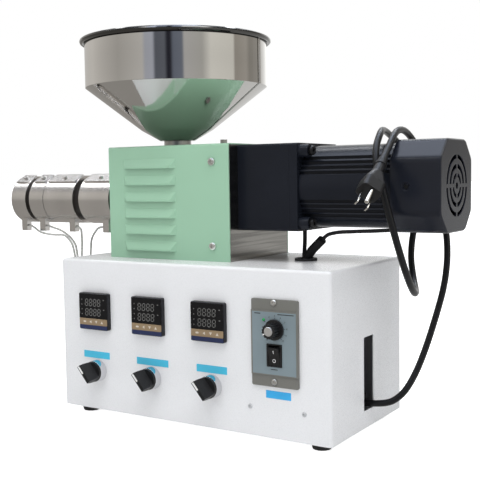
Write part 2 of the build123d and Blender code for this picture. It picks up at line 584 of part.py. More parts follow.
# Feed housing: a folded cover, open below and towards the gearbox, where the steel plate closes it. Its
# louvres are hoods pressed outwards, of even thickness, closed at the top and ends and open below.
louvre_x = HOUSING_X + LOUVRE_ACROSS
louvre_sills = [CABINET_TOP + LOUVRE_FIRST_UP + number * LOUVRE_PITCH for number in range(LOUVRE_COUNT)]
louvre_depth = 1 - LOUVRE_SHEET / LOUVRE_PROUD
louvre_fall = LOUVRE_HEIGHT - LOUVRE_LIP
louvre_mouth = LOUVRE_HEIGHT - LOUVRE_SHEET * hypot(LOUVRE_PROUD, louvre_fall) / LOUVRE_PROUD
louvre_tip = louvre_mouth - louvre_fall * louvre_depth
louvre_width = LOUVRE_LENGTH - 2 * LOUVRE_SHEET * hypot(LOUVRE_PROUD, LOUVRE_TAPER) / LOUVRE_PROUD
with BuildPart() as housing_cover:
    with BuildSketch(Plane.XY.offset(CABINET_TOP)):
        with Locations((HOUSING_X + HOUSING_LENGTH / 2, HOUSING_Y + HOUSING_DEPTH / 2)):
            Rectangle(HOUSING_LENGTH, HOUSING_DEPTH)
    extrude(amount=HOUSING_HEIGHT)
    fillet(housing_cover.edges().filter_by(Axis.X).group_by(Axis.Z)[-1], HOUSING_BEND)
    offset(amount=-HOUSING_SHEET, openings=[housing_cover.faces().sort_by(Axis.Z)[0],
                                            housing_cover.faces().sort_by(Axis.X)[-1]])
    with BuildSketch(facing_right(HOUSING_X, DRIVE_Y, BARREL_Z)):
        Circle(BARREL_HOLE_RADIUS)
    extrude(amount=2 * HOUSING_SHEET, mode=Mode.SUBTRACT)
    with BuildSketch(Plane.XY.offset(ROOF_Z)):
        with Locations((HOPPER_X, DRIVE_Y)):
            Circle(HOPPER_NECK_RADIUS + NECK_GAP)
    extrude(amount=-2 * HOUSING_SHEET, mode=Mode.SUBTRACT)
    for sill_z in louvre_sills:
        with BuildSketch(facing_front(louvre_x, HOUSING_Y, sill_z + LOUVRE_HEIGHT / 2)):
            Rectangle(LOUVRE_LENGTH, LOUVRE_HEIGHT)
        with BuildSketch(facing_front(louvre_x, HOUSING_Y - LOUVRE_PROUD, sill_z + LOUVRE_LIP / 2)):
            Rectangle(LOUVRE_LENGTH - 2 * LOUVRE_TAPER, LOUVRE_LIP)
        loft()
    lips = housing_cover.faces().filter_by(Plane.XZ).group_by(Axis.Y)[0]
    fillet([edge for lip in lips for edge in lip.edges().sort_by(Axis.Z)[1:]], LOUVRE_ROUND)
    for sill_z in louvre_sills:
        with BuildSketch(facing_front(louvre_x, HOUSING_Y, sill_z + louvre_mouth / 2)):
            Rectangle(louvre_width, louvre_mouth)
        with BuildSketch(facing_front(louvre_x, HOUSING_Y - LOUVRE_PROUD + LOUVRE_SHEET, sill_z + louvre_tip / 2)):
            Rectangle(louvre_width - 2 * LOUVRE_TAPER * louvre_depth, louvre_tip)
        loft(mode=Mode.SUBTRACT)
        with BuildSketch(facing_front(louvre_x, HOUSING_Y, sill_z + louvre_mouth / 2)):
            Rectangle(louvre_width, louvre_mouth)
        extrude(amount=-HOUSING_SHEET, mode=Mode.SUBTRACT)
housing_cover.part.label = "housing_cover"
export_step(housing_cover.part, "parts/housing_cover.step")

with BuildPart() as housing_bolt:
    with BuildSketch(Plane.XY.offset(ROOF_Z)):
        with Locations((LEFT + BOLT_ACROSS, FRONT + BOLT_IN)):
            RegularPolygon(BOLT_RADIUS, 6)
    extrude(amount=BOLT_HEIGHT)
housing_bolt.part.label = "housing_bolt"
export_step(housing_bolt.part, "parts/housing_bolt.step")

plate_width = HOUSING_DEPTH - 2 * (HOUSING_SHEET + FIT_GAP)
plate_height = HOUSING_HEIGHT - HOUSING_SHEET - FIT_GAP
with BuildPart() as mounting_plate:
    with BuildSketch(facing_right(HOUSING_RIGHT_X - PLATE_THICKNESS, HOUSING_Y + HOUSING_DEPTH / 2,
                                  CABINET_TOP + plate_height / 2)):
        Rectangle(plate_width, plate_height)
    extrude(amount=PLATE_THICKNESS)
    with BuildSketch(facing_right(HOUSING_RIGHT_X - PLATE_THICKNESS, DRIVE_Y, BARREL_Z)):
        Circle(SCREW_CORE_RADIUS + SCREW_CLEARANCE)
    extrude(amount=PLATE_THICKNESS, mode=Mode.SUBTRACT)
mounting_plate.part.label = "mounting_plate"
export_step(mounting_plate.part, "parts/mounting_plate.step")

# Feed block under the hopper, with the throat that drops onto the screw
block_top_z = BARREL_Z + FEED_BLOCK_DEPTH / 2
with BuildPart() as feed_block:
    with BuildSketch(Plane.XY.offset(CABINET_TOP)):
        with Locations((HOPPER_X, DRIVE_Y)):
            Rectangle(FEED_BLOCK_LENGTH, FEED_BLOCK_DEPTH)
    extrude(amount=block_top_z - CABINET_TOP)
    with BuildSketch(facing_right(FEED_X, DRIVE_Y, BARREL_Z)):
        Circle(BARREL_BORE_RADIUS)
    extrude(amount=FEED_BLOCK_LENGTH, mode=Mode.SUBTRACT)
    with BuildSketch(Plane.XY.offset(BARREL_Z)):
        with Locations((HOPPER_X, DRIVE_Y)):
            Circle(HOPPER_NECK_RADIUS - HOPPER_NECK_WALL)
    extrude(amount=FEED_BLOCK_DEPTH / 2, mode=Mode.SUBTRACT)
feed_block.part.label = "feed_block"
export_step(feed_block.part, "parts/feed_block.step")

with BuildPart() as barrel:
    with BuildSketch(facing_right(BARREL_END_X, DRIVE_Y, BARREL_Z)):
        Circle(BARREL_RADIUS)
    extrude(amount=FEED_X - BARREL_END_X)
    with BuildSketch(facing_right(FEED_X - BARREL_FLANGE, DRIVE_Y, BARREL_Z)):
        Circle(FLANGE_RADIUS)
    extrude(amount=BARREL_FLANGE)
    with BuildSketch(facing_right(BARREL_END_X, DRIVE_Y, BARREL_Z)):
        Circle(BARREL_BORE_RADIUS)
    extrude(amount=FEED_X - BARREL_END_X, mode=Mode.SUBTRACT)
barrel.part.label = "barrel"
export_step(barrel.part, "parts/barrel.step")

with BuildPart() as die_head:
    with BuildSketch(facing_right(BARREL_END_X, DRIVE_Y, BARREL_Z)):
        Circle(DIE_RADIUS)
    extrude(amount=-DIE_THICKNESS)
    with BuildSketch(facing_right(BARREL_END_X, DRIVE_Y, BARREL_Z)):
        Circle(NOZZLE_RADIUS)
    extrude(amount=-NOZZLE_LENGTH)
    with BuildSketch(facing_right(BARREL_END_X, DRIVE_Y, BARREL_Z)):
        Circle(NOZZLE_BORE_RADIUS)
    extrude(amount=-NOZZLE_LENGTH, mode=Mode.SUBTRACT)
die_head.part.label = "die_head"
export_step(die_head.part, "parts/die_head.step")

flight_reach = BARREL_BORE_RADIUS - SCREW_CLEARANCE - SCREW_CORE_RADIUS
flight_start = Vector(BARREL_END_X + SCREW_END_GAP + SCREW_FLIGHT, DRIVE_Y, BARREL_Z)
with BuildPart() as feed_screw:
    with BuildSketch(facing_right(BARREL_END_X + SCREW_END_GAP, DRIVE_Y, BARREL_Z)):
        Circle(SCREW_CORE_RADIUS)
    extrude(amount=GEARBOX_X - BARREL_END_X - SCREW_END_GAP)
    with BuildLine() as flight:
        Helix(SCREW_PITCH, FEED_X + FEED_BLOCK_LENGTH - flight_start.X - SCREW_END_GAP, SCREW_CORE_RADIUS,
              center=flight_start, direction=(1, 0, 0))
    with BuildSketch(Plane(origin=flight.line @ 0, x_dir=(flight.line @ 0) - flight_start,
                           z_dir=flight.line % 0)):
        with Locations(((flight_reach - SCREW_ROOT) / 2, 0)):
            Rectangle(flight_reach + SCREW_ROOT, SCREW_FLIGHT)
    sweep(is_frenet=True)
feed_screw.part.label = "feed_screw"
export_step(feed_screw.part, "parts/feed_screw.step")

# Band heaters: a strap round the barrel, a clamp plate with its screw, and a terminal block below
clamp_out = Vector(0, -sin(radians(HEATER_CLAMP_TILT)), cos(radians(HEATER_CLAMP_TILT)))
clamp_middle = (HEATER_CLAMP_TOP + BARREL_RADIUS) / 2
terminal_length, terminal_depth, terminal_height = TERMINAL_SIZE
terminal_z = BARREL_Z - TERMINAL_DROP
for number, ((span_start, span_end), terminal_across) in enumerate(zip(HEATER_SPANS, HEATER_TERMINALS), 1):
    start_x = BARREL_END_X + span_start
    band_length = span_end - span_start
    with BuildPart() as band_heater:
        with BuildSketch(facing_right(start_x, DRIVE_Y, BARREL_Z)):
            Circle(HEATER_RADIUS)
        extrude(amount=band_length)
        with BuildSketch(facing_right(start_x + HEATER_CLAMP_END, DRIVE_Y, BARREL_Z)):
            with Locations((clamp_middle * clamp_out.Y, clamp_middle * clamp_out.Z)):
                Rectangle(HEATER_CLAMP_WIDTH, HEATER_CLAMP_TOP - BARREL_RADIUS, rotation=HEATER_CLAMP_TILT)
        extrude(amount=band_length - 2 * HEATER_CLAMP_END)
        with BuildSketch(Plane.XY.offset(terminal_z)):
            with Locations((BARREL_END_X + terminal_across, DRIVE_Y - TERMINAL_IN)):
                Rectangle(terminal_length, terminal_depth)
        extrude(amount=terminal_height)
        with BuildSketch(Plane(origin=Vector(start_x + band_length / 2, DRIVE_Y, BARREL_Z)
                               + clamp_out * HEATER_CLAMP_TOP, z_dir=clamp_out)):
            Circle(CLAMP_SCREW_RADIUS)
        extrude(amount=CLAMP_SCREW_HEIGHT)
        with BuildSketch(facing_right(start_x, DRIVE_Y, BARREL_Z)):
            Circle(BARREL_RADIUS + SHAFT_CLEARANCE)
        extrude(amount=band_length, mode=Mode.SUBTRACT)
    band_heater.part.label = "band_heater_" + str(number)
    export_step(band_heater.part, "parts/band_heater_" + str(number) + ".step")

# Hopper: a tube on the feed block and a spun bowl with a rolled rim on the tube
with BuildPart() as hopper_neck:
    with BuildSketch(Plane.XY.offset(block_top_z)):
        with Locations((HOPPER_X, DRIVE_Y)):
            Circle(HOPPER_NECK_RADIUS)
            Circle(HOPPER_NECK_RADIUS - HOPPER_NECK_WALL, mode=Mode.SUBTRACT)
    extrude(amount=CABINET_TOP + HOPPER_BASE_UP - block_top_z)
hopper_neck.part.label = "hopper_neck"
export_step(hopper_neck.part, "parts/hopper_neck.step")

with BuildPart() as hopper:
    with BuildSketch(facing_front(HOPPER_X, DRIVE_Y, CABINET_TOP)):
        with BuildLine():
            Polyline((HOPPER_NECK_RADIUS - HOPPER_NECK_WALL, HOPPER_BASE_UP),
                     (HOPPER_BASE_RADIUS, HOPPER_BASE_UP),
                     (HOPPER_KNEE_RADIUS, HOPPER_KNEE_UP),
                     (HOPPER_RADIUS, HOPPER_CONE_UP),
                     (HOPPER_RADIUS, HOPPER_RIM_UP))
            offset(amount=HOPPER_SHEET, side=Side.LEFT, kind=Kind.INTERSECTION)
        make_face()
        with Locations((HOPPER_RADIUS + HOPPER_RIM_BEAD / 2, HOPPER_RIM_UP)):
            Rectangle(HOPPER_RIM_BEAD + HOPPER_SHEET, HOPPER_SHEET)
        with Locations((HOPPER_RADIUS + HOPPER_RIM_BEAD, HOPPER_RIM_UP)):
            RegularPolygon(HOPPER_RIM_BEAD, HOPPER_RIM_SIDES)
    revolve(axis=Axis((HOPPER_X, DRIVE_Y, 0), (0, 0, 1)))
hopper.part.label = "hopper"
export_step(hopper.part, "parts/hopper.step")

# Gear motor: gearbox, flange, finned motor body, and the fan under its cover
with BuildPart() as gearbox:
    with BuildSketch(facing_right(GEARBOX_X, DRIVE_Y, MOTOR_Z)):
        RectangleRounded(FRAME_SIZE, FRAME_SIZE, GEARBOX_EDGE)
    extrude(amount=GEARBOX_LENGTH)
gearbox.part.label = "gearbox"
export_step(gearbox.part, "parts/gearbox.step")

with BuildPart() as motor_flange:
    with BuildSketch(facing_right(GEARBOX_X + GEARBOX_LENGTH, DRIVE_Y, MOTOR_Z)):
        RectangleRounded(FRAME_SIZE, FRAME_SIZE, GEARBOX_EDGE)
    extrude(amount=FLANGE_LENGTH)
    with BuildSketch(facing_right(MOTOR_X, DRIVE_Y, MOTOR_Z)):
        with GridLocations(FRAME_SIZE - 2 * FLANGE_BOSS_INSET, FRAME_SIZE - 2 * FLANGE_BOSS_INSET, 2, 2):
            Circle(FLANGE_BOSS_RADIUS)
    extrude(amount=FLANGE_BOSS_LENGTH)
motor_flange.part.label = "motor_flange"
export_step(motor_flange.part, "parts/motor_flange.step")

with BuildPart() as motor_body:
    with BuildSketch(facing_right(MOTOR_X, DRIVE_Y, MOTOR_Z)):
        Circle(MOTOR_RADIUS)
        for number in range(FIN_COUNT):
            groove_up = FIN_FIRST + number * FIN_PITCH
            groove_out = sqrt(MOTOR_RADIUS ** 2 - groove_up ** 2)
            with Locations(*[(side * groove_out, level * groove_up) for side in (-1, 1) for level in (-1, 1)]):
                Rectangle(2 * FIN_DEPTH, FIN_GROOVE, mode=Mode.SUBTRACT)
    extrude(amount=MOTOR_LENGTH)
    with BuildSketch(facing_right(COVER_X, DRIVE_Y, MOTOR_Z)):
        Circle(MOTOR_SHAFT_RADIUS + MOTOR_SHAFT_SHOULDER)
    extrude(amount=FAN_GAP)
    with BuildSketch(facing_right(COVER_X, DRIVE_Y, MOTOR_Z)):
        Circle(MOTOR_SHAFT_RADIUS)
    extrude(amount=FAN_GAP + FAN_WIDTH)
motor_body.part.label = "motor_body"
export_step(motor_body.part, "parts/motor_body.step")

with BuildPart() as fan_cover:
    with BuildSketch(facing_right(COVER_X, DRIVE_Y, MOTOR_Z)) as octagon:
        Rectangle(FRAME_SIZE, FRAME_SIZE)
        chamfer(octagon.vertices(), FRAME_CHAMFER)
        fillet(octagon.vertices(), FRAME_CORNER)
    extrude(amount=COVER_LENGTH)
    chamfer(fan_cover.faces().sort_by(Axis.X)[-1].edges(), COVER_EDGE)
    with BuildSketch(facing_right(COVER_X + COVER_WALL, DRIVE_Y, MOTOR_Z)) as cavity:
        Rectangle(FRAME_SIZE, FRAME_SIZE)
        chamfer(cavity.vertices(), FRAME_CHAMFER)
        fillet(cavity.vertices(), FRAME_CORNER)
        offset(amount=-COVER_WALL, mode=Mode.REPLACE)
    extrude(amount=COVER_LENGTH - 2 * COVER_WALL, mode=Mode.SUBTRACT)
    with BuildSketch(facing_right(COVER_X, DRIVE_Y, MOTOR_Z)):
        Circle(MOTOR_RADIUS - COVER_LIP)
    extrude(amount=COVER_WALL, mode=Mode.SUBTRACT)
    with BuildSketch(facing_right(COVER_X + COVER_LENGTH, DRIVE_Y, MOTOR_Z)):
        for inner, outer in GRILLE_RINGS:
            Circle(outer)
            Circle(inner, mode=Mode.SUBTRACT)
        Rectangle(2 * MOTOR_RADIUS, GRILLE_BAR, mode=Mode.SUBTRACT)
        Rectangle(GRILLE_BAR, 2 * MOTOR_RADIUS, mode=Mode.SUBTRACT)
        Circle(GRILLE_HOLE_RADIUS)
    extrude(amount=-COVER_WALL, mode=Mode.SUBTRACT)
    for side in (-1, 1):
        with BuildSketch(facing_front(COVER_X + COVER_SCREW_IN, DRIVE_Y + side * FRAME_SIZE / 2, MOTOR_Z)):
            Circle(COVER_SCREW_SINK)
        extrude(amount=side * COVER_SINK_DEPTH, mode=Mode.SUBTRACT)
        with BuildSketch(facing_front(COVER_X + COVER_SCREW_IN, DRIVE_Y + side * FRAME_SIZE / 2, MOTOR_Z)):
            Circle(COVER_SCREW_RADIUS)
        extrude(amount=side * COVER_WALL, mode=Mode.SUBTRACT)
fan_cover.part.label = "fan_cover"
export_step(fan_cover.part, "parts/fan_cover.step")

with BuildPart() as fan:
    with BuildSketch(facing_right(COVER_X + FAN_GAP, DRIVE_Y, MOTOR_Z)):
        Circle(FAN_HUB_RADIUS)
        with PolarLocations((FAN_RADIUS + MOTOR_SHAFT_RADIUS) / 2, FAN_BLADES):
            Rectangle(FAN_RADIUS - MOTOR_SHAFT_RADIUS, FAN_BLADE)
        Circle(MOTOR_SHAFT_RADIUS + SHAFT_CLEARANCE, mode=Mode.SUBTRACT)
    extrude(amount=FAN_WIDTH)
fan.part.label = "fan"
export_step(fan.part, "parts/fan.step")

# Grommets where the wiring enters the cabinet: one in the top, one in the left side
with BuildPart() as top_grommet:
    with BuildSketch(Plane.XY.offset(CABINET_TOP)):
        with Locations((LEFT + GROMMET_ACROSS, FRONT + GROMMET_IN)):
            Circle(GROMMET_RADIUS)
    extrude(amount=GROMMET_HEIGHT)
    with BuildSketch(Plane.XY.offset(CABINET_TOP)):
        with Locations((LEFT + GROMMET_ACROSS, FRONT + GROMMET_IN)):
            Circle(GROMMET_HOLE_RADIUS - FIT_GAP)
    extrude(amount=-GROMMET_NECK)
    with BuildSketch(Plane.XY.offset(CABINET_TOP + GROMMET_HEIGHT)):
        with Locations((LEFT + GROMMET_ACROSS, FRONT + GROMMET_IN)):
            Circle(GROMMET_BORE_RADIUS)
    extrude(amount=-(GROMMET_HEIGHT + GROMMET_NECK), mode=Mode.SUBTRACT)
top_grommet.part.label = "top_grommet"
export_step(top_grommet.part, "parts/top_grommet.step")

with BuildPart() as side_grommet:
    with BuildSketch(facing_right(LEFT, FRONT + LEAD_HOLE_IN, FOOT_HEIGHT + LEAD_HOLE_UP)):
        Circle(SIDE_GROMMET_RADIUS)
    extrude(amount=-GROMMET_HEIGHT)
    with BuildSketch(facing_right(LEFT, FRONT + LEAD_HOLE_IN, FOOT_HEIGHT + LEAD_HOLE_UP)):
        Circle(LEAD_HOLE_RADIUS - FIT_GAP)
    extrude(amount=GROMMET_NECK)
    with BuildSketch(facing_right(LEFT - GROMMET_HEIGHT, FRONT + LEAD_HOLE_IN, FOOT_HEIGHT + LEAD_HOLE_UP)):
        Circle(SIDE_GROMMET_BORE_RADIUS)
    extrude(amount=GROMMET_HEIGHT + GROMMET_NECK, mode=Mode.SUBTRACT)
side_grommet.part.label = "side_grommet"
export_step(side_grommet.part, "parts/side_grommet.step")

# Leads and the power cord: straight runs joined by tangent arcs, in points from the cabinet's corner
LEAD_ROUTES = {
    "conduit": (CONDUIT_RADIUS, CONDUIT_ROUTE),
    "motor_lead": (MOTOR_LEAD_RADIUS, MOTOR_LEAD_ROUTE),
    "fan_lead": (FAN_LEAD_RADIUS, FAN_LEAD_ROUTE),
    "heater_lead_1": (HEATER_LEAD_RADIUS, HEATER_LEAD_ROUTES[0]),
    "heater_lead_2": (HEATER_LEAD_RADIUS, HEATER_LEAD_ROUTES[1]),
    "heater_lead_3": (HEATER_LEAD_RADIUS, HEATER_LEAD_ROUTES[2]),
    "heater_lead_4": (HEATER_LEAD_RADIUS, HEATER_LEAD_ROUTES[3]),
    "power_cord": (CORD_RADIUS, CORD_ROUTE),
}
for lead_name, (lead_radius, route) in LEAD_ROUTES.items():
    points = from_corner(route)
    radii = largest_radii(points)
    with BuildPart() as lead:
        with BuildLine() as path:
            FilletPolyline(*points, radius=radii)
        with BuildSketch(start_plane(points)):
            Circle(lead_radius)
        sweep()
    lead.part.label = lead_name
    export_step(lead.part, "parts/" + lead_name + ".step")
    print(lead_name, "radii", [round(radius, 1) for radius in radii], "length", round(path.wire().length, 1),
          "volume", round(lead.part.volume / (pi * lead_radius ** 2), 1))

with BuildPart() as cord_anchor:
    with BuildSketch(Plane.XY.offset(FOOT_HEIGHT + BASE_SHEET)):
        with Locations((LEFT + ANCHOR_ACROSS, FRONT + CORD_ROUTE[0][1])):
            Rectangle(ANCHOR_LENGTH, ANCHOR_WIDTH)
    extrude(amount=ANCHOR_HEIGHT)
    with BuildSketch(facing_right(LEFT + ANCHOR_ACROSS - ANCHOR_LENGTH / 2, FRONT + CORD_ROUTE[0][1],
                                  FOOT_HEIGHT + CORD_ROUTE[0][2])):
        Circle(CORD_RADIUS + SHAFT_CLEARANCE)
    extrude(amount=ANCHOR_LENGTH, mode=Mode.SUBTRACT)
cord_anchor.part.label = "cord_anchor"
export_step(cord_anchor.part, "parts/cord_anchor.step")

# Plug: its axis carries on the cord's last run, and its strain relief holds the cord's end
cord_points = from_corner(CORD_ROUTE)
plug_axis = (Vector(*cord_points[-1]) - Vector(*cord_points[-2])).normalized()
plug_plane = Plane(origin=cord_points[-1], x_dir=PLUG_SPREAD, z_dir=plug_axis)
with BuildPart() as cord_relief:
    with BuildSketch(plug_plane):
        Circle(RELIEF_RADIUS)
    with BuildSketch(plug_plane.offset(-RELIEF_LENGTH)):
        Circle(RELIEF_TIP_RADIUS)
    loft()
    with BuildSketch(plug_plane.offset(-RELIEF_RING_FROM_PLUG)):
        Circle(RELIEF_RADIUS)
    extrude(amount=-RELIEF_RING_LENGTH)
    with BuildSketch(plug_plane):
        Circle(CORD_RADIUS + SHAFT_CLEARANCE)
    extrude(amount=-RELIEF_LENGTH, mode=Mode.SUBTRACT)
cord_relief.part.label = "cord_relief"
export_step(cord_relief.part, "parts/cord_relief.step")

with BuildPart() as plug:
    with BuildSketch(plug_plane):
        RectangleRounded(PLUG_NECK, PLUG_NECK, PLUG_CORNER)
    with BuildSketch(plug_plane.offset(PLUG_SHOULDER)):
        RectangleRounded(PLUG_WIDTH, PLUG_THICKNESS, PLUG_CORNER)
    loft()
    with BuildSketch(plug_plane.offset(PLUG_SHOULDER)):
        RectangleRounded(PLUG_WIDTH, PLUG_THICKNESS, PLUG_CORNER)
    extrude(amount=PLUG_LENGTH - PLUG_SHOULDER)
plug.part.label = "plug"
export_step(plug.part, "parts/plug.step")

plug_face = plug_plane.offset(PLUG_LENGTH)
for number, side in enumerate((-1, 1), 1):
    with BuildPart() as blade:
        with BuildSketch(plug_face):
            with Locations((side * BLADE_SPACING / 2, -BLADE_DROP)):
                Rectangle(BLADE_THICKNESS, BLADE_WIDTH)
        extrude(amount=BLADE_LENGTH)
    blade.part.label = "plug_blade_" + str(number)
    export_step(blade.part, "parts/plug_blade_" + str(number) + ".step")

with BuildPart() as earth_pin:
    with BuildSketch(plug_face):
        with Locations((0, EARTH_PIN_OFFSET - BLADE_DROP)):
            Circle(EARTH_PIN_RADIUS)
    extrude(amount=EARTH_PIN_LENGTH)
    fillet(earth_pin.faces().sort_by(Axis(plug_face.origin, plug_axis))[-1].edges(), EARTH_PIN_RADIUS / 2)
earth_pin.part.label = "plug_earth_pin"
export_step(earth_pin.part, "parts/plug_earth_pin.step")
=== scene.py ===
"""Finishes, wiring and studio for the desktop filament extruder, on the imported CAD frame.

The frame is the CAD's, in metres: +X to the fan end, -Y to the control panel, +Z up. The camera, the
studio and the finishes use it as it is. The cord and the small pieces are placed in millimetres from the
cabinet's lower front left corner.
"""

from math import cos, pi, radians, sin, tan

import bmesh
import bpy
from mathutils import Matrix, Vector


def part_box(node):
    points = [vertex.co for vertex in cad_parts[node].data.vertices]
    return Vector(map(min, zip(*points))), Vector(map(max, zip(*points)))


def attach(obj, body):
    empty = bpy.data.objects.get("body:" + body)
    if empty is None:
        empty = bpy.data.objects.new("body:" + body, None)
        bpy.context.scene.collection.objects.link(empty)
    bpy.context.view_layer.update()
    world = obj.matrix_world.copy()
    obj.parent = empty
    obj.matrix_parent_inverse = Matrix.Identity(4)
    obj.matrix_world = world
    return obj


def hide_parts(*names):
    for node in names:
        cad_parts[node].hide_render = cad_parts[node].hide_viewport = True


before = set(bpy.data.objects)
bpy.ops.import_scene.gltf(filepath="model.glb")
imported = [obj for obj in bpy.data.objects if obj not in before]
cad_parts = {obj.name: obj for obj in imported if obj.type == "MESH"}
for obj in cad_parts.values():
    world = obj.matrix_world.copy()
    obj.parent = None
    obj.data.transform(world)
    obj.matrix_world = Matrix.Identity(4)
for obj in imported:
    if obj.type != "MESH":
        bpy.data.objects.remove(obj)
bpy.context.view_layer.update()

CABINET_LOW, CABINET_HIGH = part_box("cabinet")
CORNER = Vector(CABINET_LOW)
MM = 0.001


# Shader nodes

def add_node(tree, kind, inputs=None, **settings):
    """A shader node with its settings and its constant inputs."""
    node = tree.nodes.new(kind)
    for key, value in settings.items():
        setattr(node, key, value)
    for key, value in (inputs or {}).items():
        node.inputs[key].default_value = value
    return node


def add_axes(tree, kind):
    """The X, Y and Z of one kind of texture coordinate."""
    place = add_node(tree, "ShaderNodeTexCoord")
    axes = add_node(tree, "ShaderNodeSeparateXYZ")
    tree.links.new(place.outputs[kind], axes.inputs[0])
    return axes.outputs


def add_ramp(tree, source, stops):
    """A colour ramp with the given (position, colour) stops."""
    ramp = add_node(tree, "ShaderNodeValToRGB")
    elements = ramp.color_ramp.elements
    elements[0].position, elements[0].color = stops[0][0], (*stops[0][1], 1)
    elements[1].position, elements[1].color = stops[-1][0], (*stops[-1][1], 1)
    for position, colour in stops[1:-1]:
        elements.new(position).color = (*colour, 1)
    tree.links.new(source, ramp.inputs[0])
    return ramp


def add_noise(tree, place, scale, detail=3.0, stretch=(1, 1, 1)):
    """Noise in the object's own metres, stretched along an axis where asked."""
    mapping = add_node(tree, "ShaderNodeMapping", inputs={"Scale": stretch})
    tree.links.new(place, mapping.inputs["Vector"])
    noise = add_node(tree, "ShaderNodeTexNoise", inputs={"Scale": scale, "Detail": detail})
    tree.links.new(mapping.outputs[0], noise.inputs["Vector"])
    return noise


def multiplied(tree, first, second):
    """Two colours multiplied, channel by channel."""
    product = add_node(tree, "ShaderNodeMix", data_type="RGBA", blend_type="MULTIPLY", inputs={"Factor": 1.0})
    tree.links.new(first, product.inputs["A"])
    tree.links.new(second, product.inputs["B"])
    return product.outputs["Result"]


def add_choice(tree, ray, others, chosen):
    """One shader for a kind of ray, and another for all others."""
    choice = add_node(tree, "ShaderNodeMixShader")
    tree.links.new(ray, choice.inputs[0])
    tree.links.new(others.outputs[0], choice.inputs[1])
    tree.links.new(chosen.outputs[0], choice.inputs[2])
    return choice


# Finishes

# Shared by all: the scale of the clouds of shade and the noise where they begin and end, the noise where
# flecks do, the spread of gloss in the grain, the strength of the grain's relief, and the coat's roughness
CLOUD_SCALE = 14.0
CLOUD_ENDS = (0.3, 0.7)
FLECK_ENDS = (0.42, 0.58)
GLOSS_SPREAD = 0.2
GRAIN_STRENGTH = 0.4
COAT_ROUGHNESS = 0.08


def tinted(colour, share):
    """A colour made darker or lighter by a share."""
    return tuple(min(1.0, channel * share) for channel in colour)


def surface(name, colour, roughness, metallic=0.0, grain=900.0, grain_depth=0.00002, stretch=(1, 1, 1),
            shade=0.06, edge=0.0006, coat=0.0, anisotropic=0.0, fleck=0.0, specular=0.5):
    """A finish with a fine grain, slow changes of shade, softened edges and, where asked, dark flecks."""
    material = bpy.data.materials.new(name)
    material.use_nodes = True
    tree = material.node_tree
    shader = tree.nodes["Principled BSDF"]
    shader.inputs["Metallic"].default_value = metallic
    shader.inputs["Coat Weight"].default_value = coat
    shader.inputs["Coat Roughness"].default_value = COAT_ROUGHNESS
    shader.inputs["Specular IOR Level"].default_value = specular
    shader.inputs["Anisotropic"].default_value = anisotropic
    place = add_node(tree, "ShaderNodeTexCoord").outputs["Object"]

    clouds = add_noise(tree, place, CLOUD_SCALE, 2.0, stretch)
    tone = add_ramp(tree, clouds.outputs["Fac"],
                    ((CLOUD_ENDS[0], tinted(colour, 1 - shade)), (CLOUD_ENDS[1], tinted(colour, 1 + shade))))
    finish = tone.outputs[0]
    fine = add_noise(tree, place, grain, 3.0, stretch)
    if fleck:
        specks = add_ramp(tree, fine.outputs["Fac"],
                          ((FLECK_ENDS[0], (1 - fleck,) * 3), (FLECK_ENDS[1], (1.0, 1.0, 1.0))))
        finish = multiplied(tree, finish, specks.outputs[0])
    tree.links.new(finish, shader.inputs["Base Color"])

    gloss = add_node(tree, "ShaderNodeMapRange",
                     inputs={"To Min": max(0.02, roughness * (1 - GLOSS_SPREAD)),
                             "To Max": min(1.0, roughness * (1 + GLOSS_SPREAD))})
    tree.links.new(fine.outputs["Fac"], gloss.inputs["Value"])
    tree.links.new(gloss.outputs[0], shader.inputs["Roughness"])
    softened = add_node(tree, "ShaderNodeBevel", samples=6, inputs={"Radius": edge})
    bump = add_node(tree, "ShaderNodeBump", inputs={"Strength": GRAIN_STRENGTH, "Distance": grain_depth})
    tree.links.new(fine.outputs["Fac"], bump.inputs["Height"])
    tree.links.new(softened.outputs[0], bump.inputs["Normal"])
    tree.links.new(bump.outputs[0], shader.inputs["Normal"])
    return material


# The hopper's rolled edge, in metres: its height and the blur of its lower line. Its brightness is a share
# of the wall's, a painted dark reflection rather than a colour of its own
RIM_HEIGHT = 0.0072
RIM_BLUR = 0.0002
RIM_PAINTED_REFLECTION_SHARE = 0.16


def darken_above(material, level, share):
    """Makes a finish darker above a height in the object's own metres."""
    tree = material.node_tree
    colour = tree.nodes["Principled BSDF"].inputs["Base Color"]
    above = add_node(tree, "ShaderNodeMapRange",
                     inputs={"From Min": level - RIM_BLUR, "From Max": level + RIM_BLUR,
                             "To Min": 1.0, "To Max": share})
    tree.links.new(add_axes(tree, "Object")["Z"], above.inputs["Value"])
    tree.links.new(multiplied(tree, colour.links[0].from_socket, above.outputs[0]), colour)


def dress(material, *names):
    """Gives CAD nodes a finish."""
    for name in names:
        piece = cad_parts[name]
        if not piece.material_slots:
            piece.data.materials.append(material)
        for place in piece.material_slots:
            place.link = "OBJECT"
            place.material = material


def numbered(stem, count):
    """Names that end in 1, 2 and so on."""
    return [f"{stem}_{number}" for number in range(1, count + 1)]


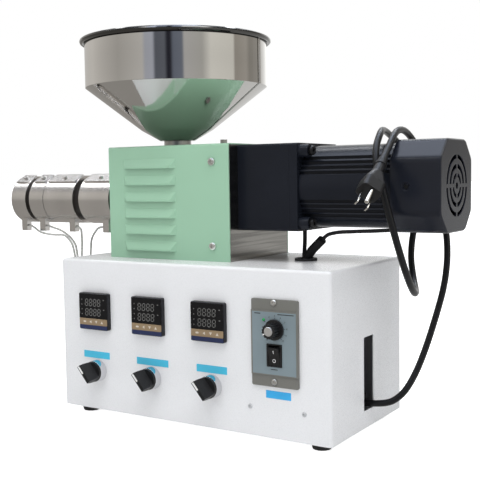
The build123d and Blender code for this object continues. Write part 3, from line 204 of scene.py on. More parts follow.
def dress_all():
    """Finishes for every CAD node."""
    dress(surface("cabinet_powder_coat", (0.80, 0.81, 0.83), 0.28, grain=1400.0, shade=0.012), "cabinet",
          "base_plate")
    dress(surface("foot_rubber", (0.016, 0.016, 0.018), 0.65, grain=2000.0, shade=0.2), "foot_front_left",
          "foot_front_right", "foot_back_left", "foot_back_right", "top_grommet", "side_grommet")
    dress(surface("controller_plastic", (0.010, 0.010, 0.013), 0.35, grain=2500.0, shade=0.1, specular=0.3),
          *numbered("temperature_controller", 3))
    dress(surface("ring_chrome", (0.70, 0.70, 0.72), 0.09, 1.0, grain=300.0, grain_depth=0.0),
          *numbered("selector_ring", 3))
    dress(surface("knob_plastic", (0.009, 0.009, 0.010), 0.4, grain=2500.0, shade=0.15, specular=0.3),
          *numbered("selector_knob", 3))
    dress(surface("control_plastic", (0.17, 0.17, 0.155), 0.45, grain=1800.0), "speed_control")
    dress(surface("dial_plastic", (0.012, 0.012, 0.013), 0.3, grain=2000.0), "speed_dial")
    dress(surface("rocker_plastic", (0.010, 0.010, 0.011), 0.22, grain=2000.0), "rocker_frame",
          "rocker_switch")
    dress(surface("lamp_lens", (0.03, 0.35, 0.10), 0.15, grain=2000.0), "indicator_lamp")
    dress(surface("housing_powder_coat", (0.33, 0.56, 0.40), 0.36, grain=1500.0, shade=0.02, coat=0.15),
          "housing_cover")
    dress(surface("machined_steel", (0.34, 0.33, 0.31), 0.24, 1.0, grain=220.0, stretch=(1, 0.03, 1.2),
                  shade=0.22, fleck=0.35, anisotropic=0.4), "mounting_plate")
    dress(surface("turned_steel", (0.40, 0.39, 0.38), 0.32, 1.0, grain=900.0, stretch=(1, 0.2, 0.2)),
          "housing_bolt", "feed_block", "die_head", "feed_screw", "hopper_neck", "cord_anchor")
    dress(surface("heated_steel", (0.045, 0.04, 0.037), 0.42, 0.7, grain=900.0, stretch=(1, 0.2, 0.2),
                  shade=0.2), "barrel")
    dress(surface("heater_strap", (0.76, 0.74, 0.72), 0.22, 1.0, grain=500.0, stretch=(1, 0.3, 0.3),
                  shade=0.12), *numbered("band_heater", 4))
    spun = surface("spun_steel", (0.62, 0.61, 0.59), 0.07, 1.0, grain=600.0, stretch=(0.1, 0.1, 1),
                   shade=0.06, grain_depth=0.000004)
    top = max(vert.co.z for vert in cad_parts["hopper"].data.vertices)
    # Painted dark reflection: the rolled rim's colour is darkened to stand in for the dark it mirrors
    darken_above(spun, top - RIM_HEIGHT, RIM_PAINTED_REFLECTION_SHARE)
    dress(spun, "hopper")
    dress(surface("motor_paint", (0.010, 0.012, 0.018), 0.24, grain=1400.0, shade=0.1, specular=0.19,
                  grain_depth=0.000006, edge=0.0009), "gearbox", "motor_flange", "motor_body", "fan")
    dress(surface("cover_paint", (0.011, 0.013, 0.020), 0.24, grain=1400.0, shade=0.08, specular=0.28,
                  grain_depth=0.000006, edge=0.0011), "fan_cover")
    dress(surface("lead_sheath", (0.008, 0.008, 0.009), 0.45, grain=1500.0, specular=0.3), "motor_lead",
          "fan_lead")
    dress(surface("conduit_sleeve", (0.008, 0.008, 0.009), 0.6, grain=900.0, fleck=0.5, grain_depth=0.0003,
                  specular=0.3), "conduit")
    dress(surface("heater_braid", (0.66, 0.66, 0.63), 0.7, grain=900.0, shade=0.15, fleck=0.55,
                  grain_depth=0.0003), *numbered("heater_lead", 4))
    dress(surface("plug_rubber", (0.009, 0.009, 0.010), 0.42, grain=1800.0, specular=0.3), "cord_relief",
          "plug")
    dress(surface("blade_nickel", (0.72, 0.70, 0.66), 0.18, 1.0, grain=900.0), "plug_blade_1",
          "plug_blade_2", "plug_earth_pin")


# Camera and studio

CAMERA_PLACE = (0.67272, -0.96510, 0.31284)
CAMERA_RIGHT = (0.84411, 0.53596, -0.01476)
CAMERA_UP = (-0.02657, 0.06931, 0.99724)
CAMERA_LENS = 65.8
CAMERA_SENSOR = 36.0

# The floor: half its width, its level, its colour, its glow to the camera and to other rays, and its tones
# to mirrored rays, from the machine out to the back right
FLOOR_REACH = 30.0
FLOOR_LEVEL = -0.0005
FLOOR_COLOUR = (0.93, 0.93, 0.93)
FLOOR_GLOW_SEEN = 0.9
FLOOR_GLOW = 0.18
FLOOR_TONES = ((0.12, (0.34, 0.325, 0.305)), (0.30, (0.62, 0.61, 0.60)), (0.6, (0.72, 0.72, 0.71)))

# The room: its plain light, and its mirrored brightness by compass direction and from floor to ceiling
ROOM_WHITE = (1, 1, 1, 1)
ROOM_LIGHT = 0.42
PANEL_STOPS = ((0.0, (0.74, 0.71, 0.67)), (0.14, (0.50, 0.48, 0.45)), (0.235, (0.63, 0.61, 0.58)),
               (0.245, (0.48, 0.50, 0.56)), (0.272, (0.50, 0.52, 0.60)), (0.280, (0.13, 0.14, 0.17)),
               (0.312, (0.15, 0.16, 0.19)), (0.322, (0.02, 0.02, 0.03)), (0.332, (0.03, 0.03, 0.04)),
               (0.342, (0.17, 0.19, 0.24)), (0.372, (0.19, 0.21, 0.26)), (0.379, (0.56, 0.55, 0.54)),
               (0.44, (0.52, 0.51, 0.48)), (0.47, (0.86, 0.84, 0.78)), (0.560, (0.80, 0.78, 0.72)),
               (0.566, (0.40, 0.37, 0.33)), (0.62, (0.46, 0.43, 0.39)), (0.64, (0.33, 0.31, 0.28)),
               (0.715, (0.42, 0.40, 0.37)), (0.725, (0.85, 0.84, 0.82)), (0.80, (1.4, 1.4, 1.38)),
               (0.86, (0.6, 0.58, 0.56)), (1.0, (0.74, 0.71, 0.67)))
HEIGHT_STOPS = ((0.0, (0.9, 0.9, 0.9)), (0.35, (1.05, 1.05, 1.05)), (0.55, (0.7, 0.72, 0.76)),
                (0.67, (0.35, 0.38, 0.44)), (0.69, (9.0, 9.4, 10.0)), (0.73, (9.0, 9.4, 10.0)),
                (0.75, (0.30, 0.33, 0.38)), (0.85, (0.30, 0.33, 0.38)), (0.87, (4.6, 5.2, 6.4)),
                (1.0, (4.6, 5.2, 6.4)))


def add_camera():
    """A camera at the photograph's viewpoint."""
    data = bpy.data.cameras.new("photo_camera")
    data.lens = CAMERA_LENS
    data.sensor_width = CAMERA_SENSOR
    camera = bpy.data.objects.new("photo_camera", data)
    bpy.context.scene.collection.objects.link(camera)
    right = Vector(CAMERA_RIGHT).normalized()
    up = Vector(CAMERA_UP)
    up = (up - right * up.dot(right)).normalized()
    turn = Matrix((right, up, right.cross(up))).transposed().to_4x4()
    camera.matrix_world = Matrix.Translation(CAMERA_PLACE) @ turn
    bpy.context.scene.camera = camera


def add_area_light(name, place, aim, size, power):
    """A soft box at a place, turned towards a point, that shows in no reflection."""
    data = bpy.data.lights.new(name, "AREA")
    data.shape = "RECTANGLE"
    data.size, data.size_y = size
    data.energy = power
    light = bpy.data.objects.new(name, data)
    bpy.context.scene.collection.objects.link(light)
    light.location = place
    light.rotation_euler = (Vector(aim) - Vector(place)).to_track_quat("-Z", "Y").to_euler()
    light.visible_glossy = False


def paper_white():
    """The floor's matt white, with its own glow to the camera and its own tones to what mirrors it."""
    material = surface("floor_white", FLOOR_COLOUR, 0.6, grain=60.0, grain_depth=0.0, shade=0.005)
    tree = material.node_tree
    shader = tree.nodes["Principled BSDF"]
    shader.inputs["Emission Color"].default_value = (*FLOOR_COLOUR, 1)
    rays = add_node(tree, "ShaderNodeLightPath")
    glow = add_node(tree, "ShaderNodeMapRange", inputs={"To Min": FLOOR_GLOW, "To Max": FLOOR_GLOW_SEEN})
    tree.links.new(rays.outputs["Is Camera Ray"], glow.inputs["Value"])
    tree.links.new(glow.outputs[0], shader.inputs["Emission Strength"])
    axes = add_axes(tree, "Object")
    behind = add_node(tree, "ShaderNodeMath", operation="ADD")
    tree.links.new(axes["X"], behind.inputs[0])
    tree.links.new(axes["Y"], behind.inputs[1])
    tone = add_ramp(tree, behind.outputs[0], FLOOR_TONES)
    mirrored = add_node(tree, "ShaderNodeEmission", inputs={"Strength": 1.0})
    tree.links.new(tone.outputs[0], mirrored.inputs["Color"])
    by_ray = add_choice(tree, rays.outputs["Is Glossy Ray"], shader, mirrored)
    tree.links.new(by_ray.outputs[0], tree.nodes["Material Output"].inputs["Surface"])
    return material


def add_floor():
    """A pale floor that runs out of the picture."""
    mesh = bpy.data.meshes.new("floor")
    corners = [(across * FLOOR_REACH, along * FLOOR_REACH, 0)
               for across, along in ((-1, -1), (1, -1), (1, 1), (-1, 1))]
    mesh.from_pydata(corners, [], [(0, 1, 2, 3)])
    floor = bpy.data.objects.new("floor", mesh)
    bpy.context.scene.collection.objects.link(floor)
    floor.location.z = FLOOR_LEVEL
    floor.data.materials.append(paper_white())


def light_world():
    """White for the camera, a bright room with darker panels for what mirrors it, and plain light."""
    world = bpy.data.worlds.new("studio")
    bpy.context.scene.world = world
    world.use_nodes = True
    tree = world.node_tree
    tree.nodes.clear()
    axes = add_axes(tree, "Generated")
    around = add_node(tree, "ShaderNodeMath", operation="ARCTAN2")
    tree.links.new(axes["Y"], around.inputs[0])
    tree.links.new(axes["X"], around.inputs[1])
    turn = add_node(tree, "ShaderNodeMapRange", inputs={"From Min": -pi, "From Max": pi})
    tree.links.new(around.outputs[0], turn.inputs["Value"])
    panels = add_ramp(tree, turn.outputs[0], PANEL_STOPS)
    height = add_ramp(tree, axes["Z"], HEIGHT_STOPS)
    rays = add_node(tree, "ShaderNodeLightPath")
    mirrored = add_node(tree, "ShaderNodeBackground", inputs={"Strength": 1.0})
    tree.links.new(multiplied(tree, panels.outputs[0], height.outputs[0]), mirrored.inputs["Color"])
    plain = add_node(tree, "ShaderNodeBackground", inputs={"Color": ROOM_WHITE, "Strength": ROOM_LIGHT})
    seen = add_node(tree, "ShaderNodeBackground", inputs={"Color": ROOM_WHITE, "Strength": 1.0})
    unseen = add_choice(tree, rays.outputs["Is Glossy Ray"], plain, mirrored)
    room = add_choice(tree, rays.outputs["Is Camera Ray"], unseen, seen)
    output = add_node(tree, "ShaderNodeOutputWorld")
    tree.links.new(room.outputs[0], output.inputs["Surface"])


# Building blocks for the cord and the small pieces, in millimetres from the cabinet's corner

# Share of a plate's depth that lies below its bevel, and the thickness and bevel of print
SHOULDER = 0.6
PRINT = 0.06
PRINT_BEVEL = 0.02

# Screw heads: points round them, their outlines as shares of radius and height, and the recess: its reach
# and its slot's half width as shares of the radius, and its floor as shares of its mouth and of the height
SCREW_STEPS = 28
SCREW_DOME = ((1.0, 0.0), (1.0, 0.4), (0.95, 0.68), (0.83, 0.88), (0.66, 1.0))
SCREW_DRUM = ((1.0, 0.0), (1.0, 0.9), (0.95, 1.0))
RECESS_REACH = 0.5
RECESS_SLOT = 0.11
RECESS_TAPER = 0.8
RECESS_FLOOR = 0.35

# Screws' finishes
SCREW_ZINC = surface("screw_zinc", (0.82, 0.82, 0.80), 0.28, 1.0, grain=900.0, shade=0.08, edge=0.0002)
SCREW_WHITE = surface("screw_white", (0.50, 0.51, 0.53), 0.4, grain=1500.0, edge=0.0002)
SCREW_BLACK = surface("screw_black", (0.02, 0.02, 0.022), 0.35, 0.6, grain=1500.0, edge=0.0002)


def spot(x, y, z):
    """A place in the frame."""
    return CORNER + Vector((x, y, z)) * MM


def add_piece(name, shape, material, body="machine"):
    """A finished mesh as a piece that rides on a body."""
    mesh = bpy.data.meshes.new(name)
    shape.to_mesh(mesh)
    shape.free()
    piece = bpy.data.objects.new(name, mesh)
    bpy.context.scene.collection.objects.link(piece)
    mesh.materials.append(material)
    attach(piece, body)
    return piece


def thicken(piece, thickness, offset):
    """Gives a flat piece a thickness."""
    solidify = piece.modifiers.new("thickness", "SOLIDIFY")
    solidify.thickness = thickness * MM
    solidify.offset = offset


def rounded(x, z, width, height, radius=0.5, turn=0.0, steps=4):
    """A rounded rectangle's outline, turned about its middle."""
    outline = []
    for quarter, (side, level) in enumerate(((1, 1), (-1, 1), (-1, -1), (1, -1))):
        for step in range(steps + 1):
            angle = (quarter + step / steps) * pi / 2
            outline.append((side * (width / 2 - radius) + radius * cos(angle),
                            level * (height / 2 - radius) + radius * sin(angle)))
    turned = radians(turn)
    return [(x + across * cos(turned) - up * sin(turned), z + across * sin(turned) + up * cos(turned))
            for across, up in outline]


def disc(x, z, radius, steps=4):
    """A round outline."""
    return rounded(x, z, 2 * radius, 2 * radius, radius - 0.01, steps=steps)


def join_loops(shape, loops, smooth=False):
    """A band of faces between each closed loop of vertices and the next."""
    for low, high in zip(loops, loops[1:]):
        for number, vert in enumerate(low):
            after = (number + 1) % len(low)
            shape.faces.new((vert, low[after], high[after], high[number])).smooth = smooth


def raised(outlines, y, depth, bevel=0.12):
    """Plates on a surface that faces the front, with a small bevel round each face."""
    shape = bmesh.new()
    for outline in outlines:
        middle = (sum(x for x, z in outline) / len(outline), sum(z for x, z in outline) / len(outline))
        loops = []
        for level, inset in ((y, 0.0), (y - depth * SHOULDER, 0.0), (y - depth, bevel)):
            loop = []
            for x, z in outline:
                inwards = Vector((middle[0] - x, middle[1] - z))
                step = inwards.normalized() * min(inset, inwards.length / 3)
                loop.append(shape.verts.new(spot(x + step.x, level, z + step.y)))
            loops.append(loop)
        join_loops(shape, loops)
        shape.faces.new(loops[-1])
        shape.faces.new(loops[0][::-1])
    return shape


def digit(x, z, width, height):
    """The seven segments of one digit, as outlines that lean a little."""
    thick = 0.95
    lean = 0.08
    shoulder = 1.4 * thick
    tip = 0.4
    gap = 0.4
    short = 0.7
    left, right = x - width / 2, x + width / 2
    segments = []
    for level in (-1, 0, 1):
        middle = z + level * (height - thick) / 2
        segments.append([(left + thick, middle), (left + shoulder, middle - thick / 2),
                         (right - shoulder, middle - thick / 2), (right - thick, middle),
                         (right - shoulder, middle + thick / 2), (left + shoulder, middle + thick / 2)])
    for side in (-1, 1):
        for level in (-1, 1):
            across = x + side * (width - thick) / 2
            low, high = sorted((z + level * gap, z + level * (height / 2 - short)))
            segments.append([(across - thick / 2, low + tip), (across, low), (across + thick / 2, low + tip),
                             (across + thick / 2, high - tip), (across, high),
                             (across - thick / 2, high - tip)])
    return [[(px + (pz - z) * lean, pz) for px, pz in segment] for segment in segments]


def add_screw(name, place, out, material, radius, height, recess="cross"):
    """A domed screw head with a cross let into it, or a bolt's drum with a hexagon, on an upright face."""
    out = Vector(out)
    across = out.cross(Vector((0, 0, 1)))
    down = out.cross(across)
    shape = bmesh.new()

    def at(x, y, z):
        return shape.verts.new(place + (across * x + down * y + out * z) * MM)

    if recess == "cross":
        profile = SCREW_DOME
        arm, half = RECESS_REACH * radius, RECESS_SLOT * radius
        rim = [(arm, -half), (arm, half), (half, half), (half, arm), (-half, arm), (-half, half),
               (-arm, half), (-arm, -half), (-half, -half), (-half, -arm), (half, -arm), (half, -half)]
    else:
        profile = SCREW_DRUM
        rim = [(RECESS_REACH * radius * cos(pi * step / 3), RECESS_REACH * radius * sin(pi * step / 3))
               for step in range(6)]
    turns = [2 * pi * step / SCREW_STEPS for step in range(SCREW_STEPS)]
    loops = [[at(share * radius * cos(turn), share * radius * sin(turn), level * height) for turn in turns]
             for share, level in profile]
    join_loops(shape, loops, smooth=True)
    shape.faces.new(loops[0][::-1])
    mouth = [at(x, y, height) for x, y in rim]
    floor = [at(RECESS_TAPER * x, RECESS_TAPER * y, RECESS_FLOOR * height) for x, y in rim]
    join_loops(shape, [floor, mouth])
    shape.faces.new(floor)
    edges = [shape.edges.get((loop[number], loop[(number + 1) % len(loop)]))
             for loop in (loops[-1], mouth) for number in range(len(loop))]
    bmesh.ops.triangle_fill(shape, use_beauty=True, edges=edges)
    bmesh.ops.recalc_face_normals(shape, faces=shape.faces[:])
    return add_piece(name, shape, material)


# Power cord: the same points as its CAD route, in millimetres. Its diameter is in metres

CORD_DIAMETER = 0.008
CORD_ROUTE = (
    (372, 107, 25.5), (414, 107, 25.5), (434, 118, 36), (445, 134, 60), (453, 150, 92), (461, 163, 130),
    (468, 174, 168), (468, 185, 206), (461, 194, 243), (447, 199, 277), (430, 195, 307), (415, 177, 333),
    (408, 148, 350), (412, 116, 356), (421, 87, 349.5), (424, 66, 331), (431, 55, 308), (441, 50, 281),
    (450, 49, 250), (459, 50, 218), (463, 65, 186), (459, 96, 164), (448, 131, 162), (434, 157, 175),
    (425, 170, 203), (427, 178, 238), (434, 181, 272), (437, 179, 304), (437, 165, 333), (434, 143, 350),
    (436, 116, 355), (438, 92, 351), (442, 68, 338), (443.3, 26.2, 302.8),
)


def add_power_cord():
    """The mains cord as one smooth curve from its clamp in the cabinet to the plug."""
    curve = bpy.data.curves.new("power_cord_sheath", "CURVE")
    curve.dimensions = "3D"
    curve.bevel_depth = CORD_DIAMETER / 2
    curve.bevel_resolution = 5
    curve.resolution_u = 10
    curve.use_fill_caps = True
    spline = curve.splines.new("NURBS")
    spline.points.add(len(CORD_ROUTE) - 1)
    for point, place in zip(spline.points, CORD_ROUTE):
        point.co = (*spot(*place), 1)
    spline.order_u = 3
    spline.use_endpoint_u = True
    cord = bpy.data.objects.new("power_cord_sheath", curve)
    bpy.context.scene.collection.objects.link(cord)
    curve.materials.append(surface("cord_sheath", (0.008, 0.008, 0.009), 0.33, grain=1500.0, specular=0.3))
    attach(cord, "machine")
    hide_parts("power_cord")


# Temperature controllers: their middles, the top of their fascias, and the depth of the strips on these.
# Places on a fascia are across from its middle and down from its top

CONTROLLERS = (59.7, 147.3, 239.0)
FASCIA_TOP = 153.3
STRIP_BACK = -5.8
STRIP_FRONT = -7.35
STRIP_WIDTH = 46.6
WINDOW_DOWN, WINDOW_HEIGHT = 0.0, 32.4
KEY_STRIP_DOWN, KEY_STRIP_HEIGHT = 32.5, 8.6
BASE_STRIP_DOWN, BASE_STRIP_HEIGHT = 41.2, 5.4
DIGIT_ROWS = (11.6, 24.2)
DIGIT_PLACES = (-10.2, -3.3, 3.6, 10.5)
DIGIT_WIDTH, DIGIT_HEIGHT = 5.2, 9.6
DASH_ACROSS, DASH_RAISE = 18.6, 3.9
DASH_WIDTH, DASH_HEIGHT = 2.2, 1.2
DOT_ACROSS = -18.4
DOT_ROWS = (8.2, 14.5, 20.8, 27.1)
DOT_RADIUS = 0.8
KEYS_DOWN = 36.8
KEY_PRINT = 0.08
KEY_BAR_ACROSS, KEY_BAR_WIDTH, KEY_BAR_HEIGHT = -14.0, 4.6, 2.2
KEY_ARROWS = (((-5.9, 0.0), (-2.6, -2.0), (-2.6, 2.0)), ((7.5, 1.7), (5.5, -1.8), (3.5, 1.7)),
              ((13.0, -1.7), (17.0, -1.7), (15.0, 1.8)))


def add_controllers():
    """Window, key strip and base strip of each temperature controller, with its unlit digits."""
    window = surface("display_window", (0.006, 0.006, 0.007), 0.16, grain=2000.0, edge=0.0003, specular=0.25)
    unlit = surface("unlit_segments", (0.14, 0.14, 0.135), 0.35, grain=2500.0, shade=0.25, edge=0.00005)
    gold = surface("key_strip", (0.28, 0.20, 0.115), 0.42, grain=2500.0, shade=0.05, edge=0.0003)
    navy = surface("base_strip", (0.014, 0.024, 0.085), 0.38, grain=2500.0, shade=0.08, edge=0.0003)
    print_white = surface("key_print", (0.62, 0.56, 0.48), 0.5, grain=2500.0, edge=0.00005)
    for number, x in enumerate(CONTROLLERS, 1):
        stem = f"controller_{number}"
        for part, down, height, material in (("window", WINDOW_DOWN, WINDOW_HEIGHT, window),
                                             ("key_strip", KEY_STRIP_DOWN, KEY_STRIP_HEIGHT, gold),
                                             ("base_strip", BASE_STRIP_DOWN, BASE_STRIP_HEIGHT, navy)):
            outline = rounded(x, FASCIA_TOP - down - height / 2, STRIP_WIDTH, height, radius=0.8)
            add_piece(f"{stem}_{part}", raised([outline], STRIP_BACK, STRIP_BACK - STRIP_FRONT, bevel=0.3),
                      material)
        segments = []
        for down in DIGIT_ROWS:
            row = FASCIA_TOP - down
            for across in DIGIT_PLACES:
                segments += digit(x + across, row, DIGIT_WIDTH, DIGIT_HEIGHT)
            segments.append(rounded(x + DASH_ACROSS, row + DASH_RAISE, DASH_WIDTH, DASH_HEIGHT))
        segments += [disc(x + DOT_ACROSS, FASCIA_TOP - down, DOT_RADIUS) for down in DOT_ROWS]
        add_piece(f"{stem}_digits", raised(segments, STRIP_FRONT, PRINT, PRINT_BEVEL), unlit)
        keys_up = FASCIA_TOP - KEYS_DOWN
        marks = [rounded(x + KEY_BAR_ACROSS, keys_up, KEY_BAR_WIDTH, KEY_BAR_HEIGHT, radius=1.05)]
        marks += [[(x + across, keys_up + up) for across, up in arrow] for arrow in KEY_ARROWS]
        add_piece(f"{stem}_key_marks", raised(marks, STRIP_FRONT, KEY_PRINT, PRINT_BEVEL), print_white)


# Labels, as middle, width and height, and selectors, with the reach and size of their knobs' marks

LABELS = ((58.45, 72.0, 44.1, 9.0), (150.5, 71.5, 50.0, 9.0), (240.35, 72.0, 44.1, 9.2),
          (332.5, 51.5, 33.0, 9.0))
LABEL_BLUE = (0.055, 0.48, 0.70)
LAST_LABEL_BLUE = (0.03, 0.40, 0.80)
LABEL_RAISE = 0.22
SELECTORS = (59.7, 149.0, 240.0)
SELECTOR_UP = 51.5
KNOB_FRONT = -28.7
KNOB_TILT = 40.0
MARK_REACH = 6.6
MARK_WIDTH, MARK_LENGTH = 2.6, 11.2
MARK_SINK, MARK_RAISE = 0.3, 0.03


def add_labels():
    """Bare blue paper labels, a little proud of the cabinet."""
    for number, (x, z, width, height) in enumerate(LABELS, 1):
        blue = LAST_LABEL_BLUE if number == len(LABELS) else LABEL_BLUE
        paper = surface(f"label_paper_{number}", blue, 0.5, grain=1800.0, shade=0.16, edge=0.0001)
        outline = rounded(x, z, width, height, radius=0.4)
        add_piece(f"label_{number}", raised([outline], 0.0, LABEL_RAISE, bevel=0.1), paper)


def add_knob_marks():
    """The white line on each selector knob's front strip, from its middle to its tip."""
    white = surface("mark_white", (0.80, 0.80, 0.79), 0.45, grain=2000.0, edge=0.0001)
    tilt = radians(KNOB_TILT)
    for number, x in enumerate(SELECTORS, 1):
        mark = rounded(x - MARK_REACH * sin(tilt), SELECTOR_UP + MARK_REACH * cos(tilt),
                       MARK_WIDTH, MARK_LENGTH, radius=0.4, turn=KNOB_TILT)
        add_piece(f"selector_mark_{number}",
                  raised([mark], KNOB_FRONT + MARK_SINK, MARK_SINK + MARK_RAISE, bevel=0.05), white,
                  f"selector_knob_{number}")


# Speed control: its middle, the front of its plate and of the raised panel on that, half the width and
# height of its fascia and of the hole in it for the rocker, its film's thickness, its bars and its screws

CONTROL = (329.7, 111.9)
PLATE_FRONT = -3.0
PANEL_FRONT = -4.2
FASCIA_HALF = (28.6, 36.0)
ROCKER_HOLE_HALF = (10.1, 13.3)
FILM = 0.12
FASCIA_BARS = ((-21.5, 33.8, 8.0, 1.1), (15.5, 33.8, 21.0, 1.0), (0.0, -30.0, 9.0, 0.9))
CONTROL_SCREWS = ((329.3, 158.5), (329.2, 67.3))

# Dial and scale: the dial's middle and its planes, its cap, its white bars as name, reach, length, plane and
# height, and the scale round it, with its turns in degrees
DIAL = (331.0, 128.0)
DIAL_BACK = PANEL_FRONT - 0.5
DIAL_FRONT = DIAL_BACK - 14.5
SKIRT_FRONT = DIAL_BACK - 3.1
CAP_RADIUS = 5.4
CAP_SINK, CAP_RAISE = 0.4, 0.6
POINTER_TURN = 210
POINTER_WIDTH = 1.3
DIAL_BARS = (("dial_pointer", 7.1, 2.6, DIAL_FRONT, 0.12), ("dial_skirt_mark", 10.3, 3.0, SKIRT_FRONT, 0.1))
SCALE_START = 230
SCALE_STEP = 28
SCALE_VALUES = range(11)
TICK_RADIUS = 13.1
TICK_LENGTH, TICK_WIDTH = 1.6, 0.5
NUMBER_RADIUS = 15.9
NUMBER_SIZE = 2.9

# Rocker: its middle and pivot, how far the middle of its front stands before the pivot, half its front's
# height, its tilt in degrees, and the line and ring on it
ROCKER = (330.2, 98.1)
ROCKER_PIVOT = -1.4
ROCKER_CREST = 3.8
ROCKER_HALF = 10.5
ROCKER_TILT = 10
SIGN_RAISE = 0.06
LINE_HALF = (0.35, 2.0)
RING_RADII = (1.5, 2.1)
RING_STEPS = 24


def scale_numbers():
    """Plain numbers round the dial, from 0 at the lower left to 10 at the lower right."""
    shape = bmesh.new()
    for value in SCALE_VALUES:
        text = bpy.data.curves.new("scale_number", "FONT")
        text.body = str(value)
        text.size = NUMBER_SIZE
        text.align_x = "CENTER"
        text.align_y = "CENTER"
        text.extrude = 0.04
        text.resolution_u = 3
        holder = bpy.data.objects.new("scale_number", text)
        bpy.context.scene.collection.objects.link(holder)
        bpy.context.view_layer.update()
        mesh = bpy.data.meshes.new_from_object(holder.evaluated_get(bpy.context.evaluated_depsgraph_get()))
        angle = radians(SCALE_START - SCALE_STEP * value)
        for vert in mesh.vertices:
            x, up, out = vert.co
            vert.co = spot(DIAL[0] + NUMBER_RADIUS * cos(angle) + x, PANEL_FRONT - FILM - text.extrude - out,
                           DIAL[1] + NUMBER_RADIUS * sin(angle) + up)
        shape.from_mesh(mesh)
        bpy.data.objects.remove(holder)
        bpy.data.meshes.remove(mesh)
        bpy.data.curves.remove(text)
    return shape


def beside_dial(reach, turn, length, width, radius):
    """A small bar that points away from the dial's middle."""
    angle = radians(turn)
    return rounded(DIAL[0] + reach * cos(angle), DIAL[1] + reach * sin(angle), length, width, radius, turn)


def add_speed_control():
    """Fascia, scale, dial cap and pointer, rocker signs and fixing screws of the speed control."""
    fascia = surface("fascia_film", (0.205, 0.262, 0.29), 0.34, grain=1800.0, shade=0.05, edge=0.0002)
    dark = surface("fascia_print", (0.02, 0.02, 0.025), 0.5, grain=2000.0, edge=0.00005)
    left, right = CONTROL[0] - FASCIA_HALF[0], CONTROL[0] + FASCIA_HALF[0]
    low, high = CONTROL[1] - FASCIA_HALF[1], CONTROL[1] + FASCIA_HALF[1]
    hole_left, hole_right = ROCKER[0] - ROCKER_HOLE_HALF[0], ROCKER[0] + ROCKER_HOLE_HALF[0]
    hole_low, hole_high = ROCKER[1] - ROCKER_HOLE_HALF[1], ROCKER[1] + ROCKER_HOLE_HALF[1]
    panes = [[(left, hole_high), (right, hole_high), (right, high), (left, high)],
             [(left, low), (right, low), (right, hole_low), (left, hole_low)],
             [(left, hole_low), (hole_left, hole_low), (hole_left, hole_high), (left, hole_high)],
             [(hole_right, hole_low), (right, hole_low), (right, hole_high), (hole_right, hole_high)]]
    shape = bmesh.new()
    for pane in panes:
        shape.faces.new([shape.verts.new(spot(x, PANEL_FRONT - FILM, z)) for x, z in pane])
    bmesh.ops.remove_doubles(shape, verts=shape.verts[:], dist=0.00001)
    thicken(add_piece("speed_fascia", shape, fascia), FILM, offset=-1)

    prints = [beside_dial(TICK_RADIUS, SCALE_START - SCALE_STEP * value, TICK_LENGTH, TICK_WIDTH, radius=0.2)
              for value in SCALE_VALUES]
    prints += [rounded(CONTROL[0] + x, CONTROL[1] + z, width, height, radius=0.15)
               for x, z, width, height in FASCIA_BARS]
    add_piece("speed_scale", raised(prints, PANEL_FRONT - FILM, PRINT, PRINT_BEVEL), dark)
    add_piece("speed_numbers", scale_numbers(), dark)

    silver = surface("dial_cap_metal", (0.90, 0.90, 0.90), 0.38, 1.0, grain=900.0, shade=0.04, edge=0.0003)
    cap = disc(*DIAL, CAP_RADIUS, steps=8)
    add_piece("dial_cap", raised([cap], DIAL_FRONT + CAP_SINK, CAP_SINK + CAP_RAISE, bevel=0.5), silver,
              "speed_dial")
    white = surface("pointer_white", (0.80, 0.80, 0.80), 0.45, grain=2000.0, edge=0.0001)
    for name, reach, length, y, depth in DIAL_BARS:
        bar = beside_dial(reach, POINTER_TURN, length, POINTER_WIDTH, radius=0.3)
        add_piece(name, raised([bar], y, depth, bevel=0.04), white, "speed_dial")

    add_rocker_signs(white)
    for number, (x, z) in enumerate(CONTROL_SCREWS, 1):
        add_screw(f"control_screw_{number}", spot(x, PLATE_FRONT, z), (0, -1, 0), SCREW_ZINC,
                  radius=3.6, height=2.0)


def add_rocker_signs(white):
    """The plain line and ring on the rocker's two faces, laid on them and moving with it."""
    pivot = Vector((ROCKER[0], ROCKER_PIVOT, ROCKER[1]))
    tilt = radians(ROCKER_TILT)
    inwards = Vector((0, cos(tilt), sin(tilt)))
    up = Vector((0, -sin(tilt), cos(tilt)))
    rise = ROCKER_HALF * tan(tilt)
    half, reach = LINE_HALF
    line = [[(-half, -reach), (half, -reach), (half, reach), (-half, reach)]]
    turns = [2 * pi * step / RING_STEPS for step in range(RING_STEPS)]
    ring = [[(radius * cos(turn), radius * sin(turn)) for turn in turns] for radius in RING_RADII]
    for name, level, outlines in (("rocker_line", 1, line), ("rocker_ring", -1, ring)):
        slope = (up * ROCKER_HALF * level - inwards * rise).normalized()
        outwards = Vector((1, 0, 0)).cross(slope) * level
        middle = (pivot - inwards * (ROCKER_CREST + rise / 2) + up * ROCKER_HALF / 2 * level
                  + outwards * SIGN_RAISE)
        shape = bmesh.new()
        loops = [[shape.verts.new(spot(*(middle + Vector((x, 0, 0)) + slope * y))) for x, y in outline]
                 for outline in outlines]
        if len(loops) == 1:
            shape.faces.new(loops[0])
        join_loops(shape, loops)
        thicken(add_piece(name, shape, white, "rocker_switch"), PRINT, offset=0)


# Screws and bolts: the housing's, the cabinet's, and those round the motor's axis, as Y and Z

HOUSING_SCREW_X = 216.0
HOUSING_FRONT, HOUSING_BACK = 43.0, 189.0
HOUSING_SCREWS_UP = (321.0, 216.3)
CABINET_SCREWS = ((294.2, 34.3), (365.9, 33.7))
MOTOR_AXIS = (116.0, 288.5)
COVER_SCREW_X = 461.7
COVER_SCREW_REACH = 51.05
FLANGE_X = 338.0
FLANGE_BOLT_REACH = 43.5


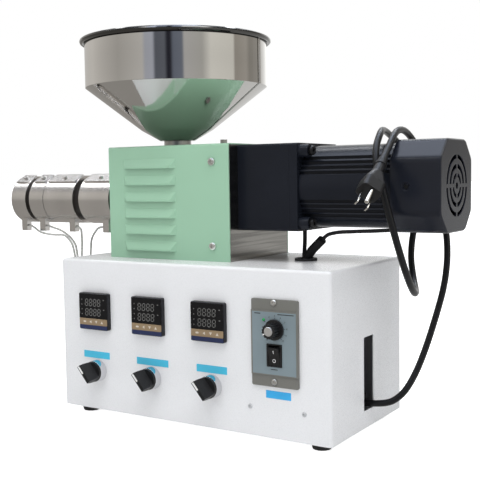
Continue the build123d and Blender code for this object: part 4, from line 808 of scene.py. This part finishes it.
def add_fixings():
    """Screws of the housing, the cabinet and the fan cover, and the motor flange's bolts."""
    for number, z in enumerate(HOUSING_SCREWS_UP, 1):
        for side, y, out in (("front", HOUSING_FRONT, -1), ("back", HOUSING_BACK, 1)):
            add_screw(f"housing_screw_{side}_{number}", spot(HOUSING_SCREW_X, y, z), (0, out, 0), SCREW_ZINC,
                      radius=5.0, height=3.2)
    for number, (x, z) in enumerate(CABINET_SCREWS, 1):
        add_screw(f"cabinet_screw_{number}", spot(x, 0, z), (0, -1, 0), SCREW_WHITE,
                  radius=2.9, height=1.3)
    for side, out in (("front", -1), ("back", 1)):
        place = spot(COVER_SCREW_X, MOTOR_AXIS[0] + out * COVER_SCREW_REACH, MOTOR_AXIS[1])
        add_screw(f"cover_screw_{side}", place, (0, out, 0), SCREW_BLACK, radius=2.4,
                  height=1.5)
    for number, (side, level) in enumerate(((-1, -1), (-1, 1), (1, -1), (1, 1)), 1):
        place = spot(FLANGE_X, MOTOR_AXIS[0] + side * FLANGE_BOLT_REACH,
                     MOTOR_AXIS[1] + level * FLANGE_BOLT_REACH)
        add_screw(f"flange_bolt_{number}", place, (1, 0, 0), SCREW_BLACK, radius=5.6,
                  height=5.0, recess="hexagon")


# The hopper's middle, its outside as radius and height above the cabinet's top, and the seam on it: its
# direction in degrees, and its section as distance along and rise above the hopper's wall

CABINET_TOP = 197.0
HOPPER = (111.0, 116.0)
HOPPER_OUTSIDE = ((24.1, 154.8), (48.9, 168.6), (123.6, 225.8), (123.9, 284.0))
SEAM_TURN = 7
SEAM_SECTION = ((-1.3, -0.2), (-0.7, 0.22), (0.0, 0.34), (0.7, 0.22), (1.3, -0.2))


def add_hopper_seam():
    """The welded seam down the hopper's outside, at its right."""
    shape = bmesh.new()
    rows = []
    for radius, up in HOPPER_OUTSIDE:
        row = []
        for offset, proud in SEAM_SECTION:
            angle = radians(SEAM_TURN) + offset / radius
            row.append(shape.verts.new(spot(HOPPER[0] + (radius + proud) * cos(angle),
                                            HOPPER[1] + (radius + proud) * sin(angle), CABINET_TOP + up)))
        rows.append(row)
    for low, high in zip(rows, rows[1:]):
        for number in range(len(low) - 1):
            shape.faces.new((low[number], low[number + 1], high[number + 1], high[number])).smooth = True
    seam = surface("seam_steel", (0.42, 0.41, 0.40), 0.3, 1.0, grain=900.0, shade=0.12)
    add_piece("hopper_seam", shape, seam)


dress_all()
add_power_cord()
add_controllers()
add_labels()
add_knob_marks()
add_speed_control()
add_fixings()
add_hopper_seam()
add_floor()
light_world()
add_area_light("key", place=(-0.5, -1.9, 1.5), aim=(0.0, 0.0, 0.25), size=(1.4, 1.4), power=7.0)
add_area_light("top", place=(0.55, -0.55, 2.1), aim=(0.0, 0.0, 0.3), size=(1.8, 1.8), power=34.0)
add_camera()
bpy.context.scene.view_settings.view_transform = "Standard"
